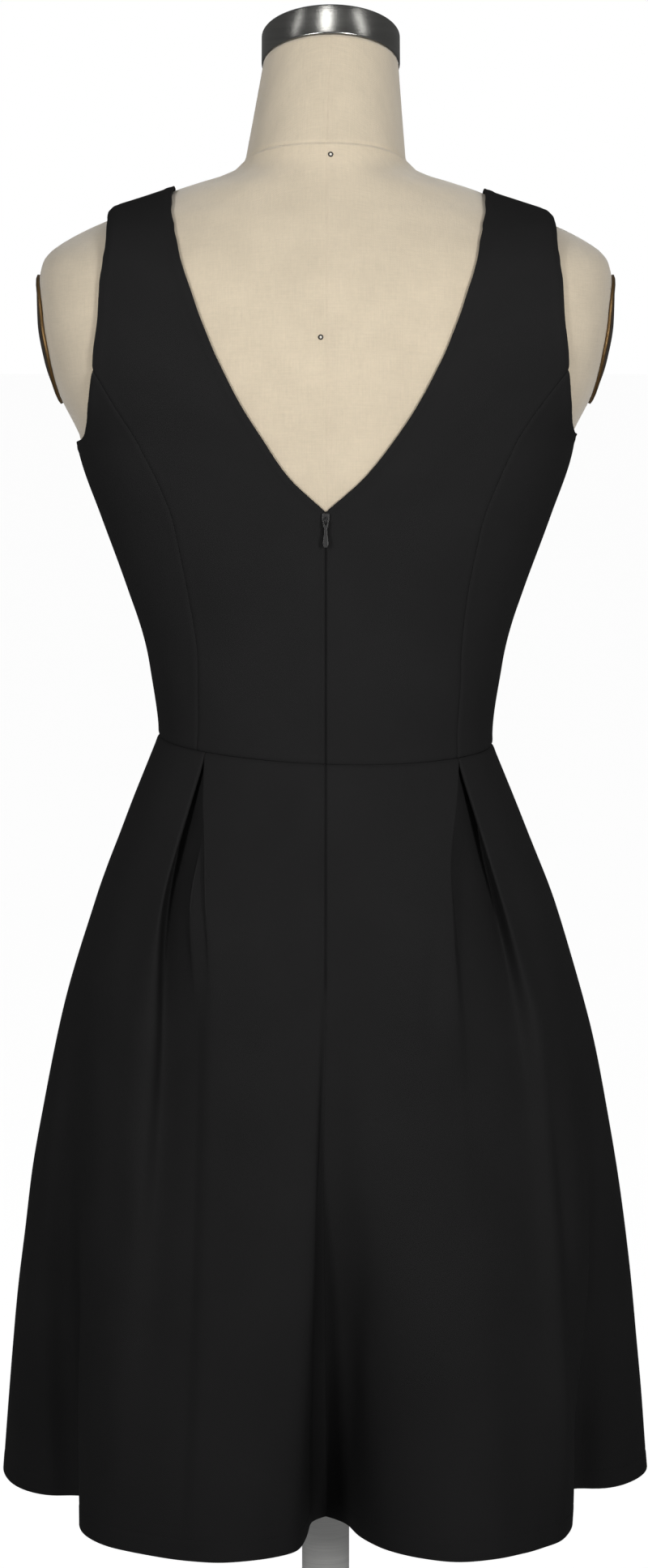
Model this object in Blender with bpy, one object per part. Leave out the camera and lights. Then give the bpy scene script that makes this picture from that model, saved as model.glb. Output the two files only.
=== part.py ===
"""Sleeveless V-back cocktail dress with a pleated, flared skirt, on a limbless dress form with a pole stand.

The wearer faces +Y, so the zip and the centre back face -Y, and +X is the wearer's right. +Z is up, and the
origin is the middle of the stand's underside. Tables and sizes are in millimetres and bearings in degrees. A
bearing is counted round the body from the centre back: 90 is a side seam and 180 the centre front.
"""

import math
from bisect import bisect_right
from collections import namedtuple

import bmesh
import bpy
import numpy as np
from mathutils import Matrix, Vector

MM = 0.001
SIDES = ((-1, "left"), (1, "right"))

# Cloth
CLOTH = 1.2  # thickness of the crepe
SEAM = 0.3  # gap between two sewn pieces
CLEARANCE = 1.5  # between the dress form and the cloth that lies on it
BUST_CLEARANCE = 2.0  # further room where the cloth spans the bust
WAIST_EASE = 4.5  # further room at the waist, where the pleats' layers lie inside
WAIST_EASE_REACH = 90  # height over which that room closes
LEVEL_REACH = 30  # height over which the cloth turns to meet the waist seam squarely
STRAP_STAND = 4.2  # how far the stiff outer part of a shoulder strap stands off
STRAP_CREST = 0.6  # the share of its width at which a strap begins to round down to its outer edge
STRAP_FALL = 0.5  # the share of that height which it loses there
STRAP_REACH = 30  # height over which it comes to stand off

# Heights above the floor
WAIST = 1040
WAIST_DIP_BACK = 8
WAIST_DIP_FRONT = 4
WAIST_TILT = 3.3  # the worn waist seam is this much higher on the left and lower on the right
HEM = 545
BACK_POINT = 1195.6  # foot of the V at the back
FRONT_POINT = 1275  # foot of the V at the front
UNDERARM = {-1: 1240.5, 1: 1253}  # on the left and on the right
NAPE = 1432
SHOULDER_FOOT = 1345  # the form narrows from here up to its neck
UNDERARM_SWEEP = 3.2  # how quickly the armhole falls before it rounds under the arm
UNDERARM_SHARES = (0, 0.12, 0.26, 0.42, 0.6, 0.8, 1)  # where that line is worked out, down to the side seam
PLATE_HEIGHT = 1305
FORM_FOOT = 800

# Widths
STRAP_INSIDE = {-1: 99, 1: 103}
STRAP_OUTSIDE = {-1: 143.5, 1: 149}

# Dress form and stand
NECK_TOP = 1484
NECK_LEAN = 14  # how far forward of the pole the top of the neck stands
NECK_LEAN_ACROSS = 3.4
NECK_TOP_RADIUS = 44.6
NECK_TILT = 24
NAPE_TO_THROAT_DROP = 30
THROAT_POWER = 1.8  # how late round the neck that drop comes
NECK_SWEEP_START = 1320  # from here up, the form's rings lean towards the foot of the neck
CAP_RADIUS = 45.7
CAP_DEPTH = 21.5
PLATE_HALF_HEIGHT = 42
PLATE_HALF_DEPTH = 40
PLATE_THICKNESS = 1.6
CUP_RISE = 21
CUP_BEARING = 143
CUP_HEIGHT = 1188
CUP_SPREAD = 26
CUP_ABOVE = 62
CUP_BELOW = 46
POLE_RADIUS = 16
BASE_RADIUS = 195
BASE_THICKNESS = 8
HUB_RADIUS = 32
HUB_HEIGHT = 46

# Zip
PULL_THICKNESS = 0.8
BRIDGE_RADIUS = 2.0
BRIDGE_WIRE = 0.45
SLIDER_WIDTH = 5.2
SLIDER_LENGTH = 9.5
SLIDER_THICKNESS = 1.8
SLIDER_STAND = 0.4  # a level slider stands this far off the leaning cloth
SLIDER_BELOW_POINT = 5.5  # from the foot of the V to the slider's middle
SLIDER_EDGE = 0.7
AXLE_STAND = 0.9  # from the slider's back to the axis that the pull turns about
SLOT_ROOM = 0.35  # between the bridge and either side of the pull's slot
SLOT_FOOT_ROOM = 0.5

Section = namedtuple("Section", "height half_width back front squareness")
FORM_SECTIONS = (
    Section(800, 146, 110, 102, 2.2),
    Section(860, 145, 110, 103, 2.2),
    Section(900, 138, 107, 101, 2.2),
    Section(950, 124, 100, 98, 2.2),
    Section(1000, 108.5, 90.5, 93, 2.15),
    Section(1040, 103.8, 86.6, 90, 2.1),
    Section(1090, 112.6, 90.5, 94, 2.15),
    Section(1140, 128.4, 96.5, 103, 2.2),
    Section(1190, 146.4, 103, 112, 2.3),
    Section(1240, 164.2, 108, 112, 2.5),
    Section(1266, 174.5, 109.5, 106, 2.6),
    Section(1291, 183.5, 109.5, 97, 2.7),
    Section(1317, 187.8, 106.5, 86, 2.8),
    Section(1342, 188.4, 99.5, 75, 2.7),
    Section(1355, 186, 94, 69, 2.55),
    Section(1362, 181, 90.5, 66, 2.4),
    Section(1368, 172.6, 87, 63, 2.3),
    Section(1374, 162, 84, 61, 2.2),
    Section(1379, 151.5, 81, 59.5, 2.1),
    Section(1386, 135, 77, 58, 2.1),
    Section(1394, 117, 72, 56, 2.0),
    Section(1402, 99, 67.5, 54.5, 2.0),
    Section(1408, 80.5, 64.5, 53.5, 2.0),
    Section(1413, 64, 62, 53, 2.0),
    Section(1418, 55.5, 60, 52.5, 2.0),
    Section(1424, 52.3, 58.5, 52, 2.0),
    Section(1434, 50.6, 57.5, 52, 2.0),
)

# Edges and seams of the bodice, as half-widths on the left and on the right at heights above the floor.
Edge = namedtuple("Edge", "height left right")
BACK_NECKLINE = (
    Edge(1218.4, 23.9, 25.3),
    Edge(1243.3, 40.9, 44.9),
    Edge(1268, 56.3, 60.9),
    Edge(1292.7, 68.7, 73.8),
    Edge(1317.3, 79.1, 84.1),
    Edge(1342, 88, 92.6),
    Edge(1366.8, 95.1, 98.7),
    Edge(1382, 98.4, 102),
    Edge(1391, 99.2, 103),
    Edge(1397, 99.4, 103.4),
)
FRONT_NECKLINE = (
    Edge(1300, 25, 25),
    Edge(1335, 52, 54),
    Edge(1366, 79, 82),
    Edge(1382, 92, 95.5),
    Edge(1391, 97.3, 101),
    Edge(1397, 99.2, 103),
)
BACK_ARMHOLE = (
    Edge(1378, 142.6, 149.6),
    Edge(1374, 143.2, 150.4),
    Edge(1368, 143.5, 151),
    Edge(1342, 145.2, 152.6),
    Edge(1317, 146.6, 154.1),
    Edge(1286, 150, 157),
)
FRONT_ARMHOLE = (
    Edge(1378, 142, 148.6),
    Edge(1374, 141.8, 148.2),
    Edge(1366, 141, 147),
    Edge(1342, 139, 145),
    Edge(1317, 139, 144),
    Edge(1289, 147, 150),
)
BACK_PRINCESS = (
    Edge(1260, 133, 134.5),
    Edge(1234, 117.4, 118.8),
    Edge(1212, 106.3, 109),
    Edge(1183, 96.2, 98.8),
    Edge(1148, 89.2, 91.8),
    Edge(1110, 82.4, 87),
    Edge(1075, 79.8, 84),
    Edge(1034.5, 79.6, 81.6),
)
FRONT_PRINCESS = (
    Edge(1262, 122, 122),
    Edge(1230, 101, 101),
    Edge(1188, 89, 89),
    Edge(1140, 82, 82),
    Edge(1090, 78, 78),
    Edge(1037, 77, 77),
)

# The skirt's plain shape, without its folds, at drops below the waist seam.
SkirtSection = namedtuple("SkirtSection", "drop half_width back front squareness")
SKIRT_SECTIONS = (
    SkirtSection(0, 110.4, 93.6, 96.4, 2.1),
    SkirtSection(55, 132.6, 110, 111, 2.1),
    SkirtSection(110, 153.4, 126, 126, 2.1),
    SkirtSection(192, 177, 147, 145, 2.1),
    SkirtSection(302, 197.8, 167, 163, 2.1),
    SkirtSection(412, 211, 183, 178, 2.1),
    SkirtSection(495, 217.8, 193, 187, 2.1),
)

# Each inverted pleat turns at four lines, from the centre panel's edge to the side panel's. A turn takes the
# cloth from one layer to another, layer 0 being the outside. Each line has its bearing and how far it stands
# out from the plain skirt at each level below the waist, and at the hem its place in plan.
PLEAT_LEVELS = (0, 75, 190, 495)
INNER_HELD = (1, 1, 0, 0)  # share of the layers' spacing that the centre panel's turns keep at each level
OUTER_HELD = (1, 1.3, 0.8, 0)  # the same for the side panel's turns
ROUNDING = (0, 0, 0.5, 1.2)  # half the turn that a fold takes at each level
LAYER_PITCH = 2.1
PleatLine = namedtuple(
    "PleatLine",
    "before after waist_bearing upper_bearing upper_out open_bearing open_out hem_across hem_behind",
)
BACK_RIGHT_PLEAT = (
    PleatLine(0, 1, 54.7, 39.7, -1, 34.0, 0, 92, 239),
    PleatLine(1, 2, 47.4, 43.0, -4, 38.5, -2.5, 108, 232),
    PleatLine(2, 1, 63.2, 59.0, -12, 53.5, -8, 127, 218),
    PleatLine(1, 0, 55.9, 55.6, 0, 55.5, 1.5, 141, 202),
)
BACK_LEFT_PLEAT = (
    PleatLine(0, 1, 48.8, 38.8, -1, 28.5, 0, 76, 240),
    PleatLine(1, 2, 41.5, 43.1, -4, 32.5, -2.5, 95, 234),
    PleatLine(2, 1, 57.3, 54.6, -12, 44.2, -10, 113, 223),
    PleatLine(1, 0, 50.0, 50.7, 0, 43.6, 1.5, 128, 212),
)
FRONT_PLEAT = (
    PleatLine(0, 1, 131.2, 141.2, -1, 150.5, 0, 80, -226),
    PleatLine(1, 2, 138.5, 136.9, -4, 146.5, -2.5, 97, -220),
    PleatLine(2, 1, 122.7, 125.4, -12, 135.3, -10, 115, -208),
    PleatLine(1, 0, 130.0, 129.3, 0, 135.9, 1.5, 129, -194),
)

# Soft folds between those lines: how far along its panel each starts at the waist, where it ends in plan at
# the hem, and the share of the drop at which it begins to show.
Fold = namedtuple("Fold", "share hem_across hem_behind start")
BACK_RIGHT_CENTRE_FOLDS = (
    Fold(0.20, 14, 150, 0.42),
    Fold(0.40, 22, 178, 0.42),
    Fold(0.60, 38, 210, 0.40),
    Fold(0.80, 62, 232, 0.35),
)
BACK_LEFT_CENTRE_FOLDS = (
    Fold(0.20, 11, 150, 0.45),
    Fold(0.40, 14.5, 182, 0.45),
    Fold(0.60, 20, 212, 0.42),
    Fold(0.80, 42, 234, 0.35),
)
BACK_RIGHT_SIDE_FOLDS = (
    Fold(0.20, 155, 173, 0.30),
    Fold(0.36, 160, 142, 0.30),
    Fold(0.52, 151, 92, 0.30),
    Fold(0.66, 158, 64, 0.30),
    Fold(0.80, 186, 64, 0.35),
    Fold(0.92, 209, 36, 0.40),
)
BACK_LEFT_SIDE_FOLDS = (
    Fold(0.20, 153, 180, 0.30),
    Fold(0.36, 161, 147, 0.30),
    Fold(0.52, 150, 98, 0.30),
    Fold(0.66, 154, 80, 0.30),
    Fold(0.80, 182, 82, 0.35),
    Fold(0.92, 208, 52, 0.40),
)
FRONT_CENTRE_FOLDS = (Fold(0.34, 25, -196, 0.45), Fold(0.70, 52, -219, 0.40))
FRONT_SIDE_FOLDS = (
    Fold(0.24, 148, -158, 0.35),
    Fold(0.46, 150, -116, 0.35),
    Fold(0.64, 160, -84, 0.35),
    Fold(0.82, 192, -66, 0.40),
)
BACK_CENTRE_BEHIND = 128
FRONT_CENTRE_BEHIND = -182
SIDE_SEAM_HEM = (218, 2)
FOLD_GROWTH = 1.5
FOLD_LEVELS = (0, 0.25, 0.5, 0.75, 1)  # shares of the drop at which a soft fold is worked out
SEAM_FOLD_START = 0.4  # the share of the drop at which a seam begins to leave the plain skirt
SHARPEST_TURN = 0.68  # cosine of half the sharpest turn at which the wall keeps its thickness

# The zip pull's outline, from its head to its drop-shaped foot, below the axis it turns about.
PullRow = namedtuple("PullRow", "below half_width")
PULL_ROWS = (
    PullRow(-0.4, 1.1),
    PullRow(0.2, 1.7),
    PullRow(3.2, 1.7),
    PullRow(4.6, 1.0),
    PullRow(8, 1.05),
    PullRow(12.5, 1.6),
    PullRow(15, 1.75),
    PullRow(16.6, 1.3),
    PullRow(17.2, 0.6),
)

# The turned profile of the stand's foot, from the middle of its underside to the middle of its hub's top.
TurnedPoint = namedtuple("TurnedPoint", "radius height")
FOOT_PROFILE = (
    TurnedPoint(0, 0),
    TurnedPoint(BASE_RADIUS - 2, 0),
    TurnedPoint(BASE_RADIUS, 2),
    TurnedPoint(BASE_RADIUS, BASE_THICKNESS - 3),
    TurnedPoint(BASE_RADIUS - 6, BASE_THICKNESS),
    TurnedPoint(HUB_RADIUS + 22, BASE_THICKNESS + 4),
    TurnedPoint(HUB_RADIUS + 4, BASE_THICKNESS + 11),
    TurnedPoint(HUB_RADIUS, HUB_HEIGHT - 3),
    TurnedPoint(HUB_RADIUS - 3, HUB_HEIGHT),
    TurnedPoint(0, HUB_HEIGHT),
)

# Mesh density
FORM_COLUMNS = 44
FORM_RINGS = (FORM_FOOT, 840, 880, 920, 960, 1000, 1040, 1070, 1100, 1130, 1160, 1188, 1216, 1244, 1270, 1295)
SHOULDER_RINGS = (1320, 1342, 1353, 1361, 1368, 1374, 1379, 1386, 1394, 1402, 1408, 1413, 1418, 1424, NAPE)
NECK_RINGS = 4
SKIRT_ROWS = 12
SKIRT_ROW_CROWDING = 1.35  # rows lie closer together towards the waist
SKIRT_COLUMNS = 2  # from one line of the skirt to the next
BODICE_COLUMNS = 5
CENTRE_PANEL_ROWS = 24
SIDE_PANEL_ROWS = 14
BACK_POINT_ROW = 9  # the row of a centre panel from which its V rises
FRONT_POINT_ROW = 13
ARMHOLE_ROW = 14  # the row at which a centre panel's princess seam meets the armhole
TRACE_FINENESS = 12  # points worked out for each place that a traced line passes through
HALVINGS = 40
PLATE_CELLS = 8
CAP_SEGMENTS = 36
POLE_SEGMENTS = 24
FOOT_SEGMENTS = 40
BRIDGE_TURNS = 10
BRIDGE_SIDES = 8
BRIDGE_SUNK = 1.6  # how deep the bridge's feet go into the slider

COLOURS = {
    "black_crepe": ((0.014, 0.014, 0.015), 0.85, 0.0),
    "natural_linen": ((0.62, 0.55, 0.42), 0.9, 0.0),
    "brushed_steel": ((0.42, 0.42, 0.41), 0.35, 1.0),
    "bronze": ((0.16, 0.10, 0.06), 0.4, 1.0),
    "black_iron": ((0.03, 0.03, 0.03), 0.5, 0.6),
    "zip_black": ((0.02, 0.02, 0.02), 0.45, 0.0),
}


class Curve:
    """A smooth line through a table's points that never swings past them."""

    def __init__(self, places, values):
        self.places = [float(p) for p in places]
        self.values = [float(v) for v in values]
        steps = np.diff(self.places)
        rises = np.diff(self.values) / steps
        self.slopes = [rises[0]]
        for k in range(1, len(steps)):
            before, after = rises[k - 1], rises[k]
            if before * after <= 0:
                self.slopes.append(0.0)
                continue
            w1 = 2 * steps[k] + steps[k - 1]
            w2 = steps[k] + 2 * steps[k - 1]
            self.slopes.append((w1 + w2) / (w1 / before + w2 / after))
        self.slopes.append(rises[-1])

    def __call__(self, place):
        place = min(max(place, self.places[0]), self.places[-1])
        k = min(bisect_right(self.places, place), len(self.places) - 1) - 1
        step = self.places[k + 1] - self.places[k]
        t = (place - self.places[k]) / step
        s = 1 - t
        return (
            s * s * (1 + 2 * t) * self.values[k]
            + t * t * (3 - 2 * t) * self.values[k + 1]
            + step * t * s * (s * self.slopes[k] - t * self.slopes[k + 1])
        )


def columns_of(table, key):
    """A Curve for each further column of a table, against the column named key."""
    places = [getattr(row, key) for row in table]
    names = [n for n in table[0]._fields if n != key]
    return {n: Curve(places, [getattr(row, n) for row in table]) for n in names}


FORM = columns_of(FORM_SECTIONS, "height")
SKIRT = columns_of(SKIRT_SECTIONS, "drop")


def solve(rule, wanted, low, high):
    """Where a rising or falling rule reaches the wanted value."""
    rising = rule(high) > rule(low)
    for _ in range(HALVINGS):
        middle = (low + high) / 2
        if (rule(middle) < wanted) == rising:
            low = middle
        else:
            high = middle
    return (low + high) / 2


# ---------------------------------------------------------------- the dress form's surface


def section_radius(sizes, place, bearing):
    """Radius of a rounded section, which may be deeper at the front than at the back."""
    angle = math.radians(bearing)
    depth = sizes["back" if math.cos(angle) > 0 else "front"](place)
    power = sizes["squareness"](place)
    across = abs(math.sin(angle)) / sizes["half_width"](place)
    along = abs(math.cos(angle)) / depth
    return (across**power + along**power) ** (-1 / power)


def cup(bearing, height):
    """The rise of the bust form over the plain section."""
    reach = CUP_ABOVE if height > CUP_HEIGHT else CUP_BELOW
    turned = abs((bearing + 180) % 360 - 180)
    round_body = (turned - CUP_BEARING) / CUP_SPREAD
    up_body = (height - CUP_HEIGHT) / reach
    return CUP_RISE * math.exp(-round_body * round_body - up_body * up_body)


def form_point(bearing, height):
    radius = section_radius(FORM, height, bearing) + cup(bearing, height)
    angle = math.radians(bearing)
    return Vector((radius * math.sin(angle), -radius * math.cos(angle), height))


def form_normal(bearing, height):
    turn, rise = 0.5, 0.5
    round_body = form_point(bearing + turn, height) - form_point(bearing - turn, height)
    up_body = form_point(bearing, height + rise) - form_point(bearing, height - rise)
    return round_body.cross(up_body).normalized()


def bearing_at(half_width, height, front=False):
    """The bearing at which the form is this wide, on its back or on its front."""
    low, high = (90, 180) if front else (0, 90)
    return solve(lambda b: form_point(b, height).x, half_width, low, high)


def ridge_height(half_width):
    """Height of the shoulder's ridge at a distance from the neck."""
    return solve(FORM["half_width"], half_width, SHOULDER_FOOT, NAPE)


def waist_seam(bearing):
    """Height of the waist seam, which dips at the centre back and centre front."""
    angle = math.radians(bearing)
    dip = WAIST_DIP_BACK if math.cos(angle) > 0 else WAIST_DIP_FRONT
    return WAIST - dip * abs(math.cos(angle)) - WAIST_TILT * math.sin(angle)


# ---------------------------------------------------------------- walls of cloth


def material(name):
    made = bpy.data.materials.get(name)
    if made:
        return made
    colour, roughness, metallic = COLOURS[name]
    made = bpy.data.materials.new(name)
    made.use_nodes = True
    shader = made.node_tree.nodes["Principled BSDF"]
    shader.inputs["Base Color"].default_value = (*colour, 1)
    shader.inputs["Roughness"].default_value = roughness
    shader.inputs["Metallic"].default_value = metallic
    made.diffuse_color = (*colour, 1)
    return made


def add_object(name, bm, finish, parent=None, origin=Vector((0, 0, 0))):
    """Closes the modelling of a piece. Its points are in millimetres in the part's own frame."""
    bmesh.ops.recalc_face_normals(bm, faces=bm.faces)
    bmesh.ops.transform(bm, matrix=Matrix.Scale(MM, 4) @ Matrix.Translation(-origin), verts=bm.verts)
    mesh = bpy.data.meshes.new(name)
    bm.to_mesh(mesh)
    bm.free()
    mesh.materials.append(material(finish))
    mesh.shade_smooth()
    mesh.set_sharp_from_angle(angle=math.radians(40))
    piece = bpy.data.objects.new(name, mesh)
    piece.location = origin * MM
    bpy.context.scene.collection.objects.link(piece)
    if parent:
        piece.parent = parent
        piece.location = (origin * MM) - parent.location
    return piece


def add_wall(name, patches, finish="black_crepe", thickness=CLOTH):
    """A wall from one or more patches, each a grid of (point, normal) in its middle surface.

    Patches that share an edge become one sheet before it gets its thickness.
    """
    bm = bmesh.new()
    outward = bm.verts.layers.float_vector.new("outward")
    for patch in patches:
        rows, columns = len(patch), len(patch[0])
        made = bmesh.ops.create_grid(bm, x_segments=columns - 1, y_segments=rows - 1, size=1)
        for vert in made["verts"]:
            column = round((vert.co.x + 1) / 2 * (columns - 1))
            row = round((vert.co.y + 1) / 2 * (rows - 1))
            point, normal = patch[row][column]
            vert.co = point - normal * thickness / 2
            vert[outward] = normal * thickness
    bmesh.ops.remove_doubles(bm, verts=bm.verts, dist=0.01)
    made = bmesh.ops.extrude_face_region(bm, geom=bm.faces[:], use_keep_orig=True)
    for item in made["geom"]:
        if isinstance(item, bmesh.types.BMVert):
            item.co += item[outward]
    return add_object(name, bm, finish)


def inset_seams(patch, left=False, right=False, bottom=False, top=False):
    """Draws the sewn edges of a patch back by half a seam's gap."""
    rows = [[(point.copy(), normal) for point, normal in row] for row in patch]

    def draw_back(cell, neighbour):
        cell[0].xyz += (neighbour[0] - cell[0]).normalized() * SEAM / 2

    for row in rows:
        if left:
            draw_back(row[0], row[1])
        if right:
            draw_back(row[-1], row[-2])
    for column in range(len(rows[0])):
        if bottom:
            draw_back(rows[0][column], rows[1][column])
        if top:
            draw_back(rows[-1][column], rows[-2][column])
    return rows


# ---------------------------------------------------------------- bodice


def trace(places):
    """Evenly spaced travel along a smooth line of (bearing, height) places on the form."""
    knots = list(range(len(places)))
    bearings = Curve(knots, [p[0] for p in places])
    heights = Curve(knots, [p[1] for p in places])
    fine = np.linspace(0, knots[-1], TRACE_FINENESS * len(places))
    points = [form_point(bearings(k), heights(k)) for k in fine]
    lengths = [0.0]
    for a, b in zip(points, points[1:]):
        lengths.append(lengths[-1] + (b - a).length)

    def travel(share):
        k = np.interp(share * lengths[-1], lengths, fine)
        return np.array((bearings(k), heights(k)))

    return travel


def joined(first, second, corner):
    """One panel edge made of two, with its corner at a share of the panel's height."""

    def travel(share):
        if share <= corner:
            return first(share / corner)
        return second((share - corner) / (1 - corner))

    return travel


def ease(bearing, height):
    """Room between the form and the cloth's inner face."""
    low = min(max((height - WAIST) / WAIST_EASE_REACH, 0), 1)
    waist = WAIST_EASE * (1 - low * low * (3 - 2 * low))
    side = 1 if bearing > 0 else -1
    across = abs(form_point(bearing, height).x)
    strap = min(max((across - STRAP_INSIDE[side]) / (STRAP_OUTSIDE[side] - STRAP_INSIDE[side]), 0), 1)
    up = min(max((height - SHOULDER_FOOT) / STRAP_REACH, 0), 1)
    bust = min(cup(bearing, height) / CUP_RISE * 2, 1) * BUST_CLEARANCE
    rounded = 1 - STRAP_FALL * max(strap - STRAP_CREST, 0) ** 2 / (1 - STRAP_CREST) ** 2
    return CLEARANCE + waist + bust + STRAP_STAND * strap * rounded * up


def cloth_point(bearing, height):
    """A place on the bodice as its point and outward normal, which is level at the waist seam."""
    normal = form_normal(bearing, height)
    normal.z *= min(max((height - waist_seam(bearing)) / LEVEL_REACH, 0), 1)
    normal.normalize()
    return form_point(bearing, height) + normal * (ease(bearing, height) + CLOTH / 2), normal


def bodice_patch(bottom, top, left, right, columns, rows):
    """A panel spanned between its four edges, each a travel from 0 to 1 in bearing and height."""
    patch = []
    for j in range(rows + 1):
        v = j / rows
        row = []
        for i in range(columns + 1):
            u = i / columns
            across = (1 - u) * left(v) + u * right(v)
            along = (1 - v) * bottom(u) + v * top(u)
            corners = (1 - v) * ((1 - u) * bottom(0) + u * bottom(1)) + v * ((1 - u) * top(0) + u * top(1))
            row.append(cloth_point(*(across + along - corners)))
        patch.append(row)
    return patch


class BodiceSide:
    """The edges of one side of the bodice, half of its back or of its front."""

    def __init__(self, side, front):
        self.side, self.front = side, front
        neckline = FRONT_NECKLINE if front else BACK_NECKLINE
        armhole = FRONT_ARMHOLE if front else BACK_ARMHOLE
        princess = FRONT_PRINCESS if front else BACK_PRINCESS
        self.centre = 180 if front else 0
        point = FRONT_POINT if front else BACK_POINT
        shoulder_in = (90, ridge_height(STRAP_INSIDE[side]))
        shoulder_out = (90, ridge_height(STRAP_OUTSIDE[side]))
        arm = [self.place(edge) for edge in armhole]
        self.waist_princess = self.place(princess[-1])[0]
        seam = [arm[-1]] + [self.place(edge) for edge in princess[:-1]]
        seam.append((self.waist_princess, self.waist(self.waist_princess)))
        self.princess = self.sided(trace(seam[::-1]))
        self.centre_seam = self.sided(trace([(self.centre, self.waist(self.centre)), (self.centre, point)]))
        neck = [(self.centre, point)] + [self.place(edge) for edge in neckline] + [shoulder_in]
        self.neckline = self.sided(trace(neck))
        self.armhole_upper = self.sided(trace(arm[::-1] + [shoulder_out]))
        self.armhole_lower = self.sided(trace(self.underarm_sweep(*arm[-1])))
        self.side_seam = self.sided(trace([(90, self.waist(90)), (90, UNDERARM[side])]))
        self.shoulder = self.sided(trace([shoulder_in, shoulder_out]))

    def underarm_sweep(self, bearing, height):
        """Places from the end of the princess seam down and round to the side seam."""
        low = UNDERARM[self.side]
        places = []
        for share in UNDERARM_SHARES:
            left_to_fall = (1 - share) ** UNDERARM_SWEEP
            places.append((bearing + (90 - bearing) * share, low + (height - low) * left_to_fall))
        return places

    def place(self, edge):
        half_width = edge.right if self.side > 0 else edge.left
        return bearing_at(half_width, edge.height, self.front), edge.height

    def waist(self, bearing):
        return waist_seam(self.side * bearing)

    def sided(self, travel):
        return lambda share: travel(share) * (self.side, 1)

    def waist_between(self, start, end):
        def travel(share):
            bearing = start + (end - start) * share
            return np.array((self.side * bearing, self.waist(bearing)))

        return travel

    def centre_patch(self):
        point_row = FRONT_POINT_ROW if self.front else BACK_POINT_ROW
        waist = self.waist_between(self.centre, self.waist_princess)
        inner = joined(self.centre_seam, self.neckline, point_row / CENTRE_PANEL_ROWS)
        outer = joined(self.princess, self.armhole_upper, ARMHOLE_ROW / CENTRE_PANEL_ROWS)
        return bodice_patch(waist, self.shoulder, inner, outer, BODICE_COLUMNS, CENTRE_PANEL_ROWS)

    def side_patch(self):
        waist = self.waist_between(self.waist_princess, 90)
        armhole = self.armhole_lower
        return bodice_patch(waist, armhole, self.princess, self.side_seam, BODICE_COLUMNS, SIDE_PANEL_ROWS)


def add_bodice():
    """Seven panels: two centre backs, two side backs, one centre front and two side fronts."""
    centre_fronts = []
    for side, word in SIDES:
        back = BodiceSide(side, front=False)
        front = BodiceSide(side, front=True)
        centre_back = inset_seams(back.centre_patch(), left=True, bottom=True, top=True)
        side_back = inset_seams(back.side_patch(), left=True, right=True, bottom=True)
        side_front = inset_seams(front.side_patch(), left=True, right=True, bottom=True)
        centre_front = inset_seams(front.centre_patch(), bottom=True, top=True)
        centre_fronts.append(inset_princess_seam(centre_front))
        add_wall(f"bodice_centre_back_{word}", [inset_princess_seam(centre_back)])
        add_wall(f"bodice_side_back_{word}", [side_back])
        add_wall(f"bodice_side_front_{word}", [side_front])
    add_wall("bodice_centre_front", centre_fronts)


def inset_princess_seam(patch):
    """Draws a centre panel's princess seam back by half a gap, and leaves the armhole above it."""
    drawn = inset_seams(patch, right=True)
    return [drawn[j] if j <= ARMHOLE_ROW else patch[j] for j in range(len(patch))]


# ---------------------------------------------------------------- skirt


class FoldLine:
    """One line down the skirt, as its bearing and how far it stands out at each share of the drop."""

    def __init__(self, levels, bearings, outs):
        self.bearing = Curve(levels, bearings)
        self.out = Curve(levels, outs)


def hem_place(across, behind):
    """The bearing of a place on the hem, and how far it stands out from the plain skirt."""
    bearing = math.degrees(math.atan2(across, behind))
    return bearing, math.hypot(across, behind) - section_radius(SKIRT, PLEAT_LEVELS[-1], bearing)


def pleat_lines(pleat, inward):
    """Eight lines, two for each turn of the cloth, which part as the pleat opens towards the hem."""
    levels = [level / PLEAT_LEVELS[-1] for level in PLEAT_LEVELS]
    lines = []
    for row in pleat:
        hem_bearing, hem_out = hem_place(row.hem_across, row.hem_behind)
        bearings = (row.waist_bearing, row.upper_bearing, row.open_bearing, hem_bearing)
        middle = (row.before + row.after) / 2
        outs = (-middle * LAYER_PITCH, row.upper_out, row.open_out, hem_out)
        held_shares = INNER_HELD if row.after > row.before else OUTER_HELD
        for layer, way in ((row.before, -inward), (row.after, inward)):
            spread = [b + way * turn for b, turn in zip(bearings, ROUNDING)]
            spaced = [out + (middle - layer) * LAYER_PITCH * held for out, held in zip(outs, held_shares)]
            lines.append(FoldLine(levels, spread, spaced))
    return lines


def soft_lines(folds, first, last):
    """Lines that part the panel between two others, and swell or sink towards the hem."""
    lines = []
    for fold in folds:
        hem_bearing, hem_out = hem_place(fold.hem_across, fold.hem_behind)
        low, high = first.bearing(1), last.bearing(1)
        hem_share = (hem_bearing - low) / (high - low)
        bearings, outs = [], []
        for level in FOLD_LEVELS:
            share = fold.share + (hem_share - fold.share) * level
            bearings.append(first.bearing(level) + share * (last.bearing(level) - first.bearing(level)))
            grown = max(level - fold.start, 0) / (1 - fold.start)
            outs.append(hem_out * grown**FOLD_GROWTH)
        lines.append(FoldLine(FOLD_LEVELS, bearings, outs))
    return lines


def plain_line(waist_bearing, across, behind):
    """A line straight down the skirt to a place on its hem, for a seam or a centre."""
    hem_bearing, hem_out = hem_place(across, behind)
    bearings, outs = [], []
    for level in FOLD_LEVELS:
        bearings.append(waist_bearing + (hem_bearing - waist_bearing) * level)
        grown = max(level - SEAM_FOLD_START, 0) / (1 - SEAM_FOLD_START)
        outs.append(hem_out * grown**FOLD_GROWTH)
    return FoldLine(FOLD_LEVELS, bearings, outs)


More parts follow.
